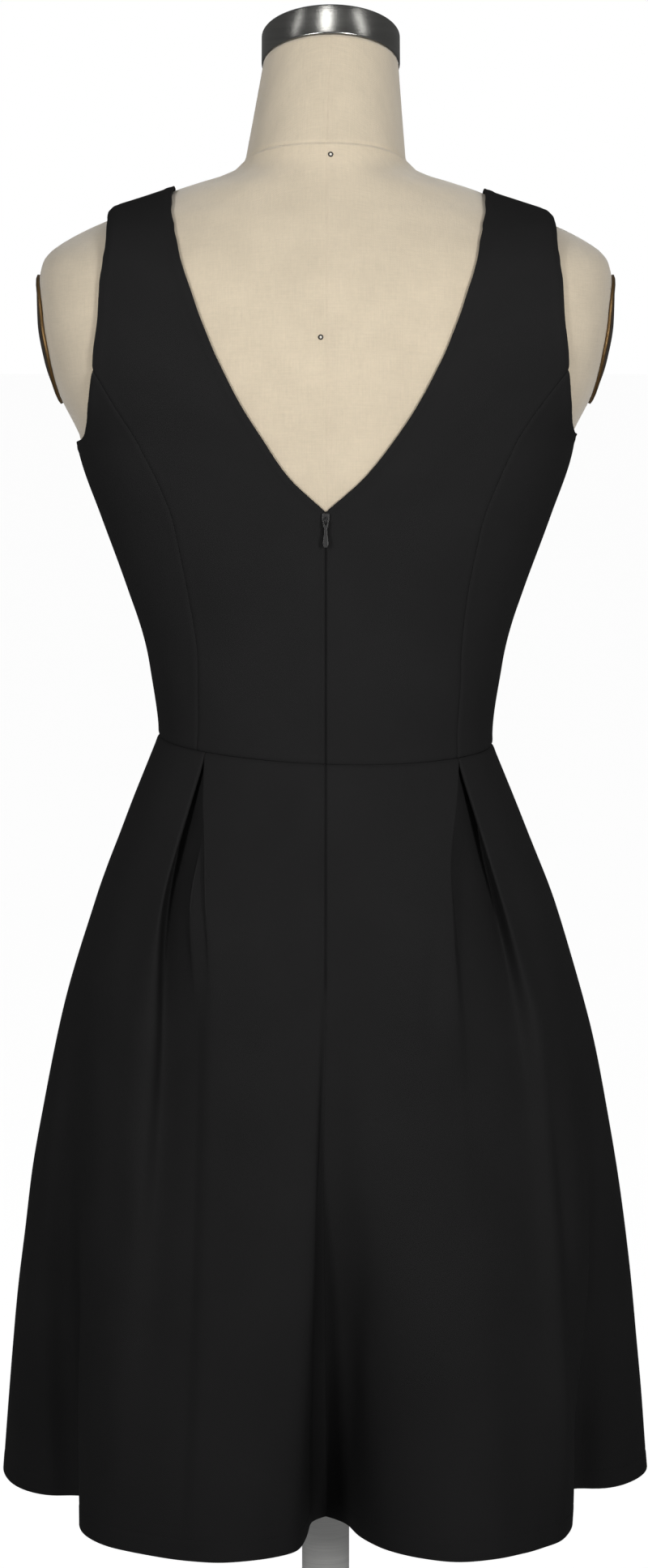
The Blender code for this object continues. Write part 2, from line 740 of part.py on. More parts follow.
def quarter(centre, centre_folds, pleat, side_folds, side_seam, inward):
    """The lines of a quarter of the skirt between its centre line and its side seam, both left out."""
    turns = pleat_lines(pleat, inward)
    return soft_lines(centre_folds, centre, turns[0]) + turns + soft_lines(side_folds, turns[-1], side_seam)


def mirrored(lines):
    """The same lines on the wearer's left, counted back from the centre front to the centre back."""
    turned = []
    for line in lines[::-1]:
        other = FoldLine(line.bearing.places, [360 - b for b in line.bearing.values], line.out.values)
        turned.append(other)
    return turned


def skirt_lines():
    """All lines round the skirt from the centre back to the right, and the places of the seams among them."""
    centre_back = plain_line(0, 0, BACK_CENTRE_BEHIND)
    centre_front = plain_line(180, 0, FRONT_CENTRE_BEHIND)
    side = plain_line(90, *SIDE_SEAM_HEM)
    right_folds = (BACK_RIGHT_CENTRE_FOLDS, BACK_RIGHT_PLEAT, BACK_RIGHT_SIDE_FOLDS)
    left_folds = (BACK_LEFT_CENTRE_FOLDS, BACK_LEFT_PLEAT, BACK_LEFT_SIDE_FOLDS)
    back_right = quarter(centre_back, *right_folds, side, 1)
    back_left = quarter(centre_back, *left_folds, side, 1)
    front = quarter(centre_front, FRONT_CENTRE_FOLDS, FRONT_PLEAT, FRONT_SIDE_FOLDS, side, -1)[::-1]
    right = [centre_back] + back_right + [side] + front + [centre_front]
    left = mirrored([centre_back] + back_left + [side] + front)
    seams = {
        "right": 1 + len(back_right),
        "left": len(right) + len(front),
    }
    return right + left, seams


def skirt_grid():
    """Rows from hem to waist of (point, normal), and the columns of the seams."""
    lines, seams = skirt_lines()
    knots = list(range(len(lines)))
    places = [k / SKIRT_COLUMNS for k in range(SKIRT_COLUMNS * knots[-1] + 1)]
    rows = []
    for j in range(SKIRT_ROWS + 1):
        share = (1 - j / SKIRT_ROWS) ** SKIRT_ROW_CROWDING
        bearings = Curve(knots, [line.bearing(share) for line in lines])
        outs = Curve(knots, [line.out(share) for line in lines])
        row = []
        for place in places:
            bearing = bearings(place)
            top = waist_seam(bearing)
            height = top + (HEM - top) * share
            angle = math.radians(bearing)
            radius = section_radius(SKIRT, share * PLEAT_LEVELS[-1], bearing) + outs(place)
            row.append(Vector((radius * math.sin(angle), -radius * math.cos(angle), height)))
        row[-1] = row[0].copy()
        rows.append(row)
    return with_normals(rows), {name: SKIRT_COLUMNS * knot for name, knot in seams.items()}


def with_normals(rows):
    """Adds the outward normal at each point of a grid that closes round the body.

    It is longer at a turn, so that the wall keeps its thickness round the corner.
    """
    columns = len(rows[0]) - 1
    made = []
    for j, row in enumerate(rows):
        above, below = rows[min(j + 1, len(rows) - 1)], rows[max(j - 1, 0)]
        cells = []
        for i in range(columns + 1):
            before, after = row[(i - 1) % columns], row[(i + 1) % columns]
            tangent = (row[i] - before).normalized() + (after - row[i]).normalized()
            normal = tangent.cross(above[i] - below[i])
            if j == len(rows) - 1:
                normal.z = 0
            normal.length = 1 / max(tangent.length / 2, SHARPEST_TURN)
            cells.append((row[i], normal))
        made.append(cells)
    return made


def add_skirt():
    """Two backs that meet at the centre back seam, and one front between the side seams."""
    grid, seams = skirt_grid()
    panels = {
        "skirt_back_right": (0, seams["right"]),
        "skirt_front": (seams["right"], seams["left"]),
        "skirt_back_left": (seams["left"], len(grid[0]) - 1),
    }
    for name, (first, last) in panels.items():
        patch = [row[first : last + 1] for row in grid]
        add_wall(name, [inset_seams(patch, left=True, right=True, top=True)])


# ---------------------------------------------------------------- zip


def add_zip():
    """The slider at the foot of the V, with the bridge that its pull hangs from."""
    height = BACK_POINT - SLIDER_BELOW_POINT
    cloth = form_point(0, height) + form_normal(0, height) * (CLEARANCE + CLOTH)
    face = cloth.y - SEAM - SLIDER_STAND
    axle = Vector((0, face - SLIDER_THICKNESS - AXLE_STAND, height))

    bm = bmesh.new()
    bmesh.ops.create_cube(bm, size=1)
    size = Vector((SLIDER_WIDTH, SLIDER_THICKNESS, SLIDER_LENGTH))
    bmesh.ops.scale(bm, vec=size, verts=bm.verts)
    bmesh.ops.translate(bm, vec=(0, face - SLIDER_THICKNESS / 2, height), verts=bm.verts)
    edges = bm.edges[:]
    bmesh.ops.bevel(bm, geom=edges, offset=SLIDER_EDGE, segments=2, profile=0.5, affect="EDGES", material=-1)
    slider = add_object("zip_slider", bm, "zip_black")

    arch = add_loft("zip_bridge_cutter", bridge_rings(axle), "zip_black")
    arch.hide_render = True
    arch.display_type = "WIRE"
    union = slider.modifiers.new("bridge", "BOOLEAN")
    union.operation = "UNION"
    union.object = arch
    add_pull(axle)


def bridge_rings(axle):
    """Rings of a wire that leaves the slider, turns a half circle about the axle and goes back in."""
    stations = [(math.pi / 2, BRIDGE_SUNK)]
    stations += [(math.pi / 2 + math.pi * k / BRIDGE_TURNS, 0) for k in range(BRIDGE_TURNS + 1)]
    stations.append((3 * math.pi / 2, BRIDGE_SUNK))
    rings = []
    for angle, inward in stations:
        radial = Vector((0, math.cos(angle), math.sin(angle)))
        centre = axle + radial * BRIDGE_RADIUS + Vector((0, inward, 0))
        ring = []
        for k in range(BRIDGE_SIDES):
            way = math.tau * (k + 0.5) / BRIDGE_SIDES
            ring.append(centre + (radial * math.cos(way) + Vector((math.sin(way), 0, 0))) * BRIDGE_WIRE)
        rings.append(ring)
    return rings


def add_pull(axle):
    """A drop-shaped pull that turns about its origin. The bridge passes through a slot at its head."""
    bm = bmesh.new()
    outline = [(row.half_width, row.below) for row in PULL_ROWS]
    outline += [(-across, below) for across, below in outline[::-1]]
    verts = [bm.verts.new(axle + Vector((x, -PULL_THICKNESS / 2, -below))) for x, below in outline]
    face = bm.faces.new(verts)
    made = bmesh.ops.extrude_face_region(bm, geom=[face], use_keep_orig=True)["geom"]
    back = [item for item in made if isinstance(item, bmesh.types.BMVert)]
    bmesh.ops.translate(bm, vec=(0, PULL_THICKNESS, 0), verts=back)
    pull = add_object("zip_pull", bm, "zip_black", origin=axle)

    slot = bmesh.new()
    bmesh.ops.create_cube(slot, size=1)
    width = 2 * (BRIDGE_WIRE + SLOT_ROOM)
    top = PULL_THICKNESS / 2
    foot = BRIDGE_RADIUS + BRIDGE_WIRE + SLOT_FOOT_ROOM
    bmesh.ops.scale(slot, vec=(width, 4 * PULL_THICKNESS, foot - top), verts=slot.verts)
    bmesh.ops.translate(slot, vec=axle - Vector((0, 0, (foot + top) / 2)), verts=slot.verts)
    cutter = add_object("zip_slot_cutter", slot, "zip_black")
    cutter.hide_render = True
    cutter.display_type = "WIRE"
    cut = pull.modifiers.new("slot", "BOOLEAN")
    cut.operation = "DIFFERENCE"
    cut.object = cutter


# ---------------------------------------------------------------- dress form and stand


def throat_drop(bearing):
    """How far the neck's foot falls from the nape towards the throat."""
    return NAPE_TO_THROAT_DROP * ((1 - math.cos(math.radians(bearing))) / 2) ** THROAT_POWER


def form_rings():
    """Rings up the torso, which tilt with the foot of the neck, and then up the neck."""
    bearings = [360 * k / FORM_COLUMNS for k in range(FORM_COLUMNS)]
    rings = []
    for height in FORM_RINGS + SHOULDER_RINGS:
        share = max(height - NECK_SWEEP_START, 0) / (NAPE - NECK_SWEEP_START)
        ring = []
        for bearing in bearings:
            signed = bearing if bearing <= 180 else bearing - 360
            ring.append(form_point(signed, height - throat_drop(bearing) * share * share))
        rings.append(ring)
    foot = rings[-1]
    tilt = Matrix.Rotation(math.radians(-NECK_TILT), 3, "X")
    for k in range(NECK_RINGS):
        share = (k + 1) / NECK_RINGS
        ring = []
        for bearing, low in zip(bearings, foot):
            angle = math.radians(bearing)
            flat = Vector((NECK_TOP_RADIUS * math.sin(angle), -NECK_TOP_RADIUS * math.cos(angle), 0))
            top = tilt @ flat + Vector((NECK_LEAN_ACROSS, NECK_LEAN, NECK_TOP))
            ring.append(low.lerp(top, share))
        rings.append(ring)
    return rings


def add_loft(name, rings, finish):
    """A closed body through rings with equally many points."""
    bm = bmesh.new()
    loops = []
    for ring in rings:
        verts = [bm.verts.new(point) for point in ring]
        loops.append([bm.edges.new((a, b)) for a, b in zip(verts, verts[1:] + verts[:1])])
    for low, high in zip(loops, loops[1:]):
        bmesh.ops.bridge_loops(bm, edges=low + high)
    caps = bmesh.ops.contextual_create(bm, geom=loops[0])["faces"]
    caps += bmesh.ops.contextual_create(bm, geom=loops[-1])["faces"]
    bmesh.ops.poke(bm, faces=caps)
    return add_object(name, bm, finish)


def add_cap():
    """The slanted metal cap on the neck."""
    bm = bmesh.new()
    sizes = {"segments": CAP_SEGMENTS, "radius1": CAP_RADIUS, "radius2": CAP_RADIUS, "depth": CAP_DEPTH}
    bmesh.ops.create_cone(bm, cap_ends=True, **sizes)
    rims = [e for e in bm.edges if abs(e.verts[0].co.z - e.verts[1].co.z) < 0.01]
    bmesh.ops.bevel(bm, geom=rims, offset=1.2, segments=2, profile=0.5, affect="EDGES", material=-1)
    tilt = Matrix.Rotation(math.radians(-NECK_TILT), 4, "X")
    place = Matrix.Translation((NECK_LEAN_ACROSS, NECK_LEAN, NECK_TOP))
    lift = Matrix.Translation((0, 0, CAP_DEPTH / 2 + SEAM))
    bmesh.ops.transform(bm, matrix=place @ tilt @ lift, verts=bm.verts)
    add_object("form_neck_cap", bm, "brushed_steel")


def add_arm_plates():
    """An oval metal plate on each side of the form, where an arm would leave it."""
    for side, word in SIDES:
        patch = []
        for j in range(PLATE_CELLS + 1):
            row = []
            v = 2 * j / PLATE_CELLS - 1
            for i in range(PLATE_CELLS + 1):
                u = 2 * i / PLATE_CELLS - 1
                ahead = PLATE_HALF_DEPTH * u * math.sqrt(1 - v * v / 2)
                height = PLATE_HEIGHT + PLATE_HALF_HEIGHT * v * math.sqrt(1 - u * u / 2)
                bearing = side * solve(lambda b: form_point(b, height).y, ahead, 20, 160)
                normal = form_normal(bearing, height)
                row.append((form_point(bearing, height) + normal * (SEAM + PLATE_THICKNESS / 2), normal))
            patch.append(row)
        add_wall(f"form_arm_plate_{word}", [patch], "bronze", PLATE_THICKNESS)


def add_stand():
    """A round foot with a hub, and the pole that carries the form."""
    bm = bmesh.new()
    verts = [bm.verts.new((point.radius, 0, point.height)) for point in FOOT_PROFILE]
    edges = [bm.edges.new((a, b)) for a, b in zip(verts, verts[1:])]
    turn = {"cent": (0, 0, 0), "axis": (0, 0, 1), "angle": math.tau, "steps": FOOT_SEGMENTS}
    bmesh.ops.spin(bm, geom=verts + edges, use_merge=True, **turn)
    bmesh.ops.remove_doubles(bm, verts=bm.verts, dist=0.01)
    add_object("stand_base", bm, "black_iron")

    bm = bmesh.new()
    length = FORM_FOOT - HUB_HEIGHT - 2 * SEAM
    sizes = {"segments": POLE_SEGMENTS, "radius1": POLE_RADIUS, "radius2": POLE_RADIUS, "depth": length}
    bmesh.ops.create_cone(bm, cap_ends=True, **sizes)
    bmesh.ops.translate(bm, vec=(0, 0, HUB_HEIGHT + SEAM + length / 2), verts=bm.verts)
    add_object("stand_pole", bm, "brushed_steel")


def main():
    for old in list(bpy.data.objects):
        bpy.data.objects.remove(old)
    add_bodice()
    add_skirt()
    add_zip()
    add_loft("form_body", form_rings(), "natural_linen")
    add_cap()
    add_arm_plates()
    add_stand()


main()
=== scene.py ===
import math
from bisect import bisect_right
from collections import namedtuple

import bmesh
import bpy
import numpy as np
from bpy.props import FloatProperty, FloatVectorProperty, IntProperty, PointerProperty
from mathutils import Matrix, Vector


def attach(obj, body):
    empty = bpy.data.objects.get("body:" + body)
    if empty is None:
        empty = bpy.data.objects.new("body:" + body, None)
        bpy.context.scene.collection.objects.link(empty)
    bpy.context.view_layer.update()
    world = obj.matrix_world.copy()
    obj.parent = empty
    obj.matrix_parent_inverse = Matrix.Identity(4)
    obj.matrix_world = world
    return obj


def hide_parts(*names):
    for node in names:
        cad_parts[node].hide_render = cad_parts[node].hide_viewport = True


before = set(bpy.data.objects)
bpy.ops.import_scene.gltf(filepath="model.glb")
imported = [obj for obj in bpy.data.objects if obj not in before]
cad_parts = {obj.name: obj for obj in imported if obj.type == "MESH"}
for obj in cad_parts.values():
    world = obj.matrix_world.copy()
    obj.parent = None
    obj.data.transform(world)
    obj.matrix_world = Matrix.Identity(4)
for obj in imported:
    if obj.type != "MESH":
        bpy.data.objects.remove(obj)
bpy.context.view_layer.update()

bl_info = {
    "name": "Cocktail dress on a dress form",
    "version": (1, 0, 0),
    "blender": (4, 5, 0),
    "location": "3D View > Sidebar > Dress",
    "description": "Cuts, pleats and hangs a black crepe dress on a linen form, and lights it",
    "category": "Object",
}

# Sizes and tables are in millimetres and bearings in degrees. A bearing is counted round the body from the
# centre back: 90 is a side seam and 180 the centre front. The wearer faces +Y, and +X is the wearer's right.
MM = 0.001
SIDES = ((-1, "left"), (1, "right"))
HALVINGS = 40  # how often a search halves its range
TRACE_STEPS = 12  # how finely a traced line is measured for each of its places
CENTRE_REACH = 1  # a point that is nearer than this to the middle plane lies on a centre line
WALL_MERGE = 0.005  # points of neighbouring patches that lie nearer than this become one
SKIN_MERGE = 0.001
TURNED_MERGE = 0.01

# ---------------------------------------------------------------- the dress form's shape

NAPE = 1432
SHOULDER_FOOT = 1345
FORM_FOOT = 800
NECK_TOP = 1484
NECK_LEAN = 14
NECK_LEAN_ACROSS = 3.4
NECK_MIDDLE = Vector((NECK_LEAN_ACROSS, NECK_LEAN, NECK_TOP))  # the middle of the neck's slanted top
NECK_TOP_RADIUS = 44.6
NECK_TILT = 24
NAPE_TO_THROAT_DROP = 30
NECK_SEAM_FULLNESS = 1.12
NECK_FOOT_FULLNESS = 1.8
NECK_SWEEP_START = 1320
NECK_SHARES = (0.012, 0.025, 0.045, 0.08, 0.14, 0.22, 0.32, 0.43, 0.54, 0.66, 0.78, 0.9, 0.97, 1.0)
# How far from its seams the form's mesh has its closest lines, in degrees and in millimetres
NEAR_CENTRE_SEAM = (0.3, 0.65, 1.1, 1.8, 3)
NEAR_NECK_SEAM = (0.5, 1.0, 1.7, 2.8, 4.5)
FORM_BEARING_STEP = 3
Heights = namedtuple("Heights", "start end step")
TORSO_HEIGHTS = Heights(FORM_FOOT, 1330, 7.5)
SHOULDER_HEIGHTS = Heights(1332, NAPE - 7, 3.0)
CUP_RISE = 21
CUP_BEARING = 143
CUP_HEIGHT = 1188
CUP_SPREAD = 26
CUP_ABOVE = 62
CUP_BELOW = 46

Section = namedtuple("Section", "height half_width back front squareness")
FORM_SECTIONS = (
    Section(800, 146, 110, 102, 2.2),
    Section(860, 145, 110, 103, 2.2),
    Section(900, 138, 107, 101, 2.2),
    Section(950, 124, 100, 98, 2.2),
    Section(1000, 108.5, 90.5, 93, 2.15),
    Section(1040, 103.8, 86.6, 90, 2.1),
    Section(1090, 112.6, 90.5, 94, 2.15),
    Section(1140, 128.4, 96.5, 103, 2.2),
    Section(1190, 146.4, 103, 112, 2.3),
    Section(1231, 160.4, 107.4, 112.5, 2.45),
    Section(1241, 162.2, 108, 111.8, 2.5),
    Section(1249, 165.8, 108.6, 110, 2.53),
    Section(1266, 174.5, 109.5, 106, 2.6),
    Section(1291, 183.5, 109.5, 97, 2.7),
    Section(1317, 187.8, 106.5, 86, 2.8),
    Section(1342, 188.4, 99.5, 75, 2.7),
    Section(1355, 186, 94, 69, 2.55),
    Section(1362, 181, 90.5, 66, 2.4),
    Section(1368, 172.6, 87, 63, 2.3),
    Section(1374, 162, 84, 61, 2.2),
    Section(1379, 151.5, 81, 59.5, 2.1),
    Section(1386, 135, 77, 58, 2.1),
    Section(1394, 117, 72, 56, 2.0),
    Section(1402, 99, 67.5, 54.5, 2.0),
    Section(1408, 80.5, 64.5, 53.5, 2.0),
    Section(1413, 64, 62, 53, 2.0),
    Section(1418, 55.5, 60, 52.5, 2.0),
    Section(1424, 52.3, 58.5, 52, 2.0),
    Section(1434, 50.6, 57.5, 52, 2.0),
)

# ---------------------------------------------------------------- the bodice's cut

SEAM = 0.3
CLEARANCE = 1.5
BUST_CLEARANCE = 2.0
WAIST_EASE = 4.5
WAIST_EASE_REACH = 90
LEVEL_REACH = 30
STRAP_STAND = 5.6
STRAP_RISE = 30
STRAP_CREST = 0.76
STRAP_FALL = 0.62
STRAP_INSIDE = {-1: 98.4, 1: 103}
STRAP_OUTSIDE = {-1: 140.7, 1: 147.2}
WAIST = 1040
WAIST_DIP_BACK = 8
WAIST_DIP_FRONT = 4
WAIST_TILT = 3.3
BACK_POINT = 1195.6
FRONT_POINT = 1275
UNDERARM = {-1: 1238, 1: 1244}
UNDERARM_SWEEP = 4
UNDERARM_SHARES = (0, 0.12, 0.26, 0.42, 0.6, 0.8, 1)
CENTRE_PANEL = (75, 340)  # about how wide and long a panel is, for the spacing of its mesh
SIDE_PANEL = (60, 200)

Edge = namedtuple("Edge", "height left right")
BACK_NECKLINE = (
    Edge(1218.4, 23.9, 25.3),
    Edge(1243.3, 40.9, 44.9),
    Edge(1268, 56.3, 60.9),
    Edge(1292.7, 68.7, 73.8),
    Edge(1317.3, 79.1, 84.1),
    Edge(1342, 88, 92.6),
    Edge(1366.8, 95.1, 98.7),
    Edge(1382, 98.4, 102),
    Edge(1391, 99.2, 103),
    Edge(1397, 99.4, 103.4),
)
FRONT_NECKLINE = (
    Edge(1300, 25, 25),
    Edge(1335, 52, 54),
    Edge(1366, 79, 82),
    Edge(1382, 92, 95.5),
    Edge(1391, 97.3, 101),
    Edge(1397, 99.2, 103),
)
BACK_ARMHOLE = (
    Edge(1378, 140.2, 147.4),
    Edge(1374, 140.3, 147.9),
    Edge(1368, 140.3, 148.2),
    Edge(1360, 141, 148.6),
    Edge(1350, 142.6, 150),
    Edge(1342, 144.1, 151.3),
    Edge(1317, 145.4, 152.3),
    Edge(1286, 148.4, 154.9),
)
FRONT_ARMHOLE = (
    Edge(1378, 139.8, 146.8),
    Edge(1374, 139.7, 146.6),
    Edge(1366, 139.5, 146),
    Edge(1342, 138.5, 144.6),
    Edge(1317, 138.8, 143.8),
    Edge(1289, 146, 149),
)
BACK_PRINCESS = (
    Edge(1260, 133, 134.5),
    Edge(1234, 117.4, 118.8),
    Edge(1212, 106.3, 109),
    Edge(1183, 96.2, 98.8),
    Edge(1148, 89.2, 91.8),
    Edge(1110, 82.4, 87),
    Edge(1075, 79.8, 84),
    Edge(1034.5, 79.6, 81.6),
)
FRONT_PRINCESS = (
    Edge(1262, 122, 122),
    Edge(1230, 101, 101),
    Edge(1188, 89, 89),
    Edge(1140, 82, 82),
    Edge(1090, 78, 78),
    Edge(1037, 77, 77),
)
RIDGE_SHARES = (0.4, 0.7, 0.88, 0.97)  # of the way from an edge's last row up to the ridge
# Shares of a centre panel's height at which its corners lie
BACK_POINT_SHARE = 9 / 24
FRONT_POINT_SHARE = 13 / 24
ARMHOLE_FOOT_SHARE = 14 / 24

# ---------------------------------------------------------------- the skirt's cut and drape

CLOTH_THICKNESS = 1.2
HEM = 545
DROP = 495
SkirtSection = namedtuple("SkirtSection", "drop half_width back front squareness")
SKIRT_SECTIONS = (
    SkirtSection(0, 110.4, 93.6, 96.4, 2.1),
    SkirtSection(55, 132.6, 110, 111, 2.1),
    SkirtSection(110, 153.4, 126, 126, 2.1),
    SkirtSection(192, 177, 147, 145, 2.1),
    SkirtSection(302, 197.8, 167, 163, 2.1),
    SkirtSection(412, 211, 183, 178, 2.1),
    SkirtSection(495, 217.8, 193, 187, 2.1),
)
PLEAT_LEVELS = (0, 75, 190, 495)
INNER_HELD = (1, 1, 0, 0)
OUTER_HELD = (1, 1.3, 0.8, 0)
ROUNDING = (0, 0, 0.5, 1.2)
LAYER_PITCH = 2.1
NARROWEST_TURN, WIDEST_TURN = 0.5, 5  # the spacing of the layers that a pressed fold joins
CLOSED_TURN = 0.8  # the bearing between a pressed fold's two lines
FOLD_BULGE = 0.5  # a pressed fold is rounded by this share of its layers' spacing
PleatLine = namedtuple(
    "PleatLine",
    "before after waist_bearing upper_bearing upper_out open_bearing open_out hem_across hem_behind",
)
BACK_RIGHT_PLEAT = (
    PleatLine(0, 1, 54.7, 39.7, -1, 34.0, 0, 92, 239),
    PleatLine(1, 2, 47.4, 41.0, -5, 35.6, -3, 104, 234),
    PleatLine(2, 1, 63.2, 59.0, -12, 53.5, -8, 127, 218),
    PleatLine(1, 0, 55.9, 55.6, 0, 55.5, 1.5, 141, 202),
)
BACK_LEFT_PLEAT = (
    PleatLine(0, 1, 48.8, 38.8, -1, 28.5, 0, 76, 240),
    PleatLine(1, 2, 41.5, 43.1, -4, 32.5, -2.5, 95, 234),
    PleatLine(2, 1, 57.3, 54.6, -12, 44.2, -10, 113, 223),
    PleatLine(1, 0, 50.0, 50.7, 0, 43.6, 1.5, 128, 212),
)
FRONT_PLEAT = (
    PleatLine(0, 1, 131.2, 141.2, -1, 150.5, 0, 80, -226),
    PleatLine(1, 2, 138.5, 136.9, -4, 146.5, -2.5, 97, -220),
    PleatLine(2, 1, 122.7, 125.4, -12, 135.3, -10, 115, -208),
    PleatLine(1, 0, 130.0, 129.3, 0, 135.9, 1.5, 129, -194),
)
# halfway is the share a fold's line has in the middle of the drop, where that is not between its ends
Fold = namedtuple("Fold", "share hem_across hem_behind start halfway", defaults=(None,))
BACK_RIGHT_CENTRE_FOLDS = (
    Fold(0.20, 14, 150, 0.42),
    Fold(0.40, 22, 178, 0.42),
    Fold(0.60, 38, 210, 0.40),
    Fold(0.80, 62, 232, 0.35),
)
BACK_LEFT_CENTRE_FOLDS = (
    Fold(0.20, 11, 149, 0.45, 0.02),
    Fold(0.40, 14, 182, 0.45, 0.05),
    Fold(0.60, 19, 212, 0.42, 0.11),
    Fold(0.80, 42, 234, 0.35, 0.5),
)
BACK_RIGHT_SIDE_FOLDS = (
    Fold(0.20, 155, 173, 0.30),
    Fold(0.36, 160, 142, 0.30),
    Fold(0.52, 151, 92, 0.30),
    Fold(0.66, 158, 64, 0.30),
    Fold(0.80, 186, 64, 0.35),
    Fold(0.92, 209, 36, 0.40),
)
BACK_LEFT_SIDE_FOLDS = (
    Fold(0.20, 153, 180, 0.30),
    Fold(0.36, 161, 147, 0.30),
    Fold(0.52, 150, 98, 0.30),
    Fold(0.66, 154, 80, 0.30),
    Fold(0.80, 182, 82, 0.35),
    Fold(0.92, 208, 52, 0.40),
)
FRONT_CENTRE_FOLDS = (Fold(0.34, 25, -196, 0.45), Fold(0.70, 52, -219, 0.40))
FRONT_SIDE_FOLDS = (
    Fold(0.24, 148, -158, 0.35),
    Fold(0.46, 150, -116, 0.35),
    Fold(0.64, 160, -84, 0.35),
    Fold(0.82, 192, -66, 0.40),
)
BACK_RIGHT = BACK_RIGHT_CENTRE_FOLDS, BACK_RIGHT_PLEAT, BACK_RIGHT_SIDE_FOLDS
BACK_LEFT = BACK_LEFT_CENTRE_FOLDS, BACK_LEFT_PLEAT, BACK_LEFT_SIDE_FOLDS
FRONT = FRONT_CENTRE_FOLDS, FRONT_PLEAT, FRONT_SIDE_FOLDS
BACK_CENTRE_BEHIND = 128
FRONT_CENTRE_BEHIND = -182
SIDE_SEAM_HEM = (218, 2)
FOLD_GROWTH = 1.5
FOLD_LEVELS = (0, 0.25, 0.5, 0.625, 0.75, 0.875, 1)
PLAIN_LEVELS = (0, 0.25, 0.5, 0.75, 1)
PLAIN_START = 0.4
SEAM_STEPS = (0.04, 0.09, 0.2143)  # shares of the space between a seam and its next line

# How far along the cloth a fold's turns are rounded, in millimetres, at shares of the drop
Softness = namedtuple("Softness", "share reach")
SOFTNESS_ROWS = (Softness(0, 0), Softness(0.16, 0), Softness(0.36, 3), Softness(0.6, 5), Softness(1, 7))
LEAST_SOFTNESS = 0.2
PLEAT_SOFTNESS = 0.9  # how much further the turns away from the centre back are rounded
PLEAT_SOFTNESS_START = 12
PLEAT_SOFTNESS_SPAN = 10

# Creases laid into the cloth: a line from one place to another as seen from the back or the front,
# how far its middle bows sideways, how high it stands or, below zero, how deep it sinks, and how wide it is
# to its left and to its right.
Crease = namedtuple("Crease", "behind x0 z0 x1 z1 bow depth left_width right_width")
SKIRT_CREASES = (
    Crease(True, 0, 905, -9, 568, 2, -4.5, 3, 20),
    Crease(True, 8, 893, 12, 600, 0, -1.5, 10, 12),
    Crease(True, -7, 840, -24, 420, 3, 1.6, 14, 5),
    Crease(True, -112, 930, -122, 720, -4, 2.4, 10, 10),
    Crease(True, -83, 960, -98, 430, 3, -2.4, 16, 6),
    Crease(True, -163, 850, -163, 480, -11, -4.5, 9, 10),
    Crease(True, 132, 890, 154, 560, 4, 2.6, 8, 7),
    Crease(True, 146, 850, 172, 480, 3, -4.5, 7, 9),
    Crease(True, 70, 935, 67, 840, 0, -1.2, 6, 6),
    Crease(True, -48, 720, -44, 440, 0, 1.4, 13, 13),
    Crease(True, 98, 770, 116, 440, 0, 1.6, 12, 12),
    Crease(False, -108, 900, -120, 620, 4, 2.2, 11, 9),
    Crease(False, 104, 880, 124, 560, -4, 2.4, 9, 12),
    Crease(False, -38, 760, -30, 430, 0, -2.6, 12, 9),
    Crease(False, 44, 790, 38, 440, 2, -2.2, 9, 13),
    Crease(False, -160, 820, -168, 480, -6, -3.6, 10, 9),
    Crease(False, 158, 850, 170, 480, 6, -3.8, 9, 10),
)
CREASE_END = 0.02  # how near its ends a crease still lifts the cloth, as a share of its length
CREASE_SWELL = 0.8

# Waves that cross the cloth: how fast each runs along the three axes, and where it starts
Ripple = namedtuple("Ripple", "x y z phase")
RIPPLES = (
    Ripple(0.021, 0.013, 0.009, 0.4),
    Ripple(-0.034, 0.017, 0.014, 2.1),
    Ripple(0.052, -0.03, 0.019, 4.4),
    Ripple(0.011, 0.041, -0.023, 1.2),
)
RIPPLE_PACE = 2.2
RIPPLE_WANDER = 1.3
RIPPLE_WANDER_PACE = 0.37
RIPPLE_FADE = 0.4  # each further wave is lower by this share of the first
BODICE_RIPPLE = 0.25
SKIRT_RIPPLE = 0.5
SKIRT_RIPPLE_ONSET = 120  # how far below the waist the skirt's ripples are full

# ---------------------------------------------------------------- sewing

EDGE_STEPS = (0.6, 1.3, 2.2, 3.4, 5.0, 7.0)  # how far from an edge the mesh has its closest lines
EVEN_START = 1.2  # the even lines start beyond the last of those by this factor
HEM_STEPS = (0.6, 1.3, 2.4, 4, 6.5, 9, 10.4, 11.2, 12, 12.8, 13.8, 16, 19)
EDGE_ROUND = 0.42
FACING = 0.5  # how much thicker the cloth is where an edge is faced
FACING_REACH = 5
FACING_FADE = 3  # from there on it thins out over this width
HEM_TURN = 12
HEM_TURN_FADE = 2
HEM_STAND = 0.15
HEM_THICKENING = 0.55
ZIP_FOOT = 885
ZIP_FADE = 12
STITCH_PITCH = 3.6
STITCH_MARGIN = 4
STITCH_SIZE = (0.8, 0.24, 0.2)  # half its length, width and height

# Soft ridges and, below zero, grooves beside an edge: how high each stands, how far from the edge it runs and
# how wide it is
Roll = namedtuple("Roll", "height distance width")
SEAM_ROLLS = (Roll(-0.35, 0, 1.0), Roll(0.16, 3.6, 2.0))  # the seam, and the swell over its allowance
WAIST_ROLLS = (Roll(-0.3, 0, 0.8),)  # the waist seam's further depth
ZIP_ROLLS = (Roll(-0.9, 0, 0.7), Roll(0.5, 1.7, 1.1), Roll(-0.22, 6.2, 1.6))  # the slit, its lip and the tape
FACING_ROLLS = (Roll(-0.12, 1.9, 0.6),)  # the stitches just inside a faced edge
HEM_ROLLS = (Roll(-0.18, HEM_TURN, 0.8),)
NECK_SEAM_ROLLS = (Roll(-0.9, 0, 0.9), Roll(1.0, -1.9, 1.3))
FORM_CENTRE_ROLLS = (Roll(-0.35, 0, 0.7),)
PLATE_ROLLS = (Roll(0.5, 0.95, 0.035),)  # its raised rim, in shares of the plate's reach from its middle

# ---------------------------------------------------------------- metalwork

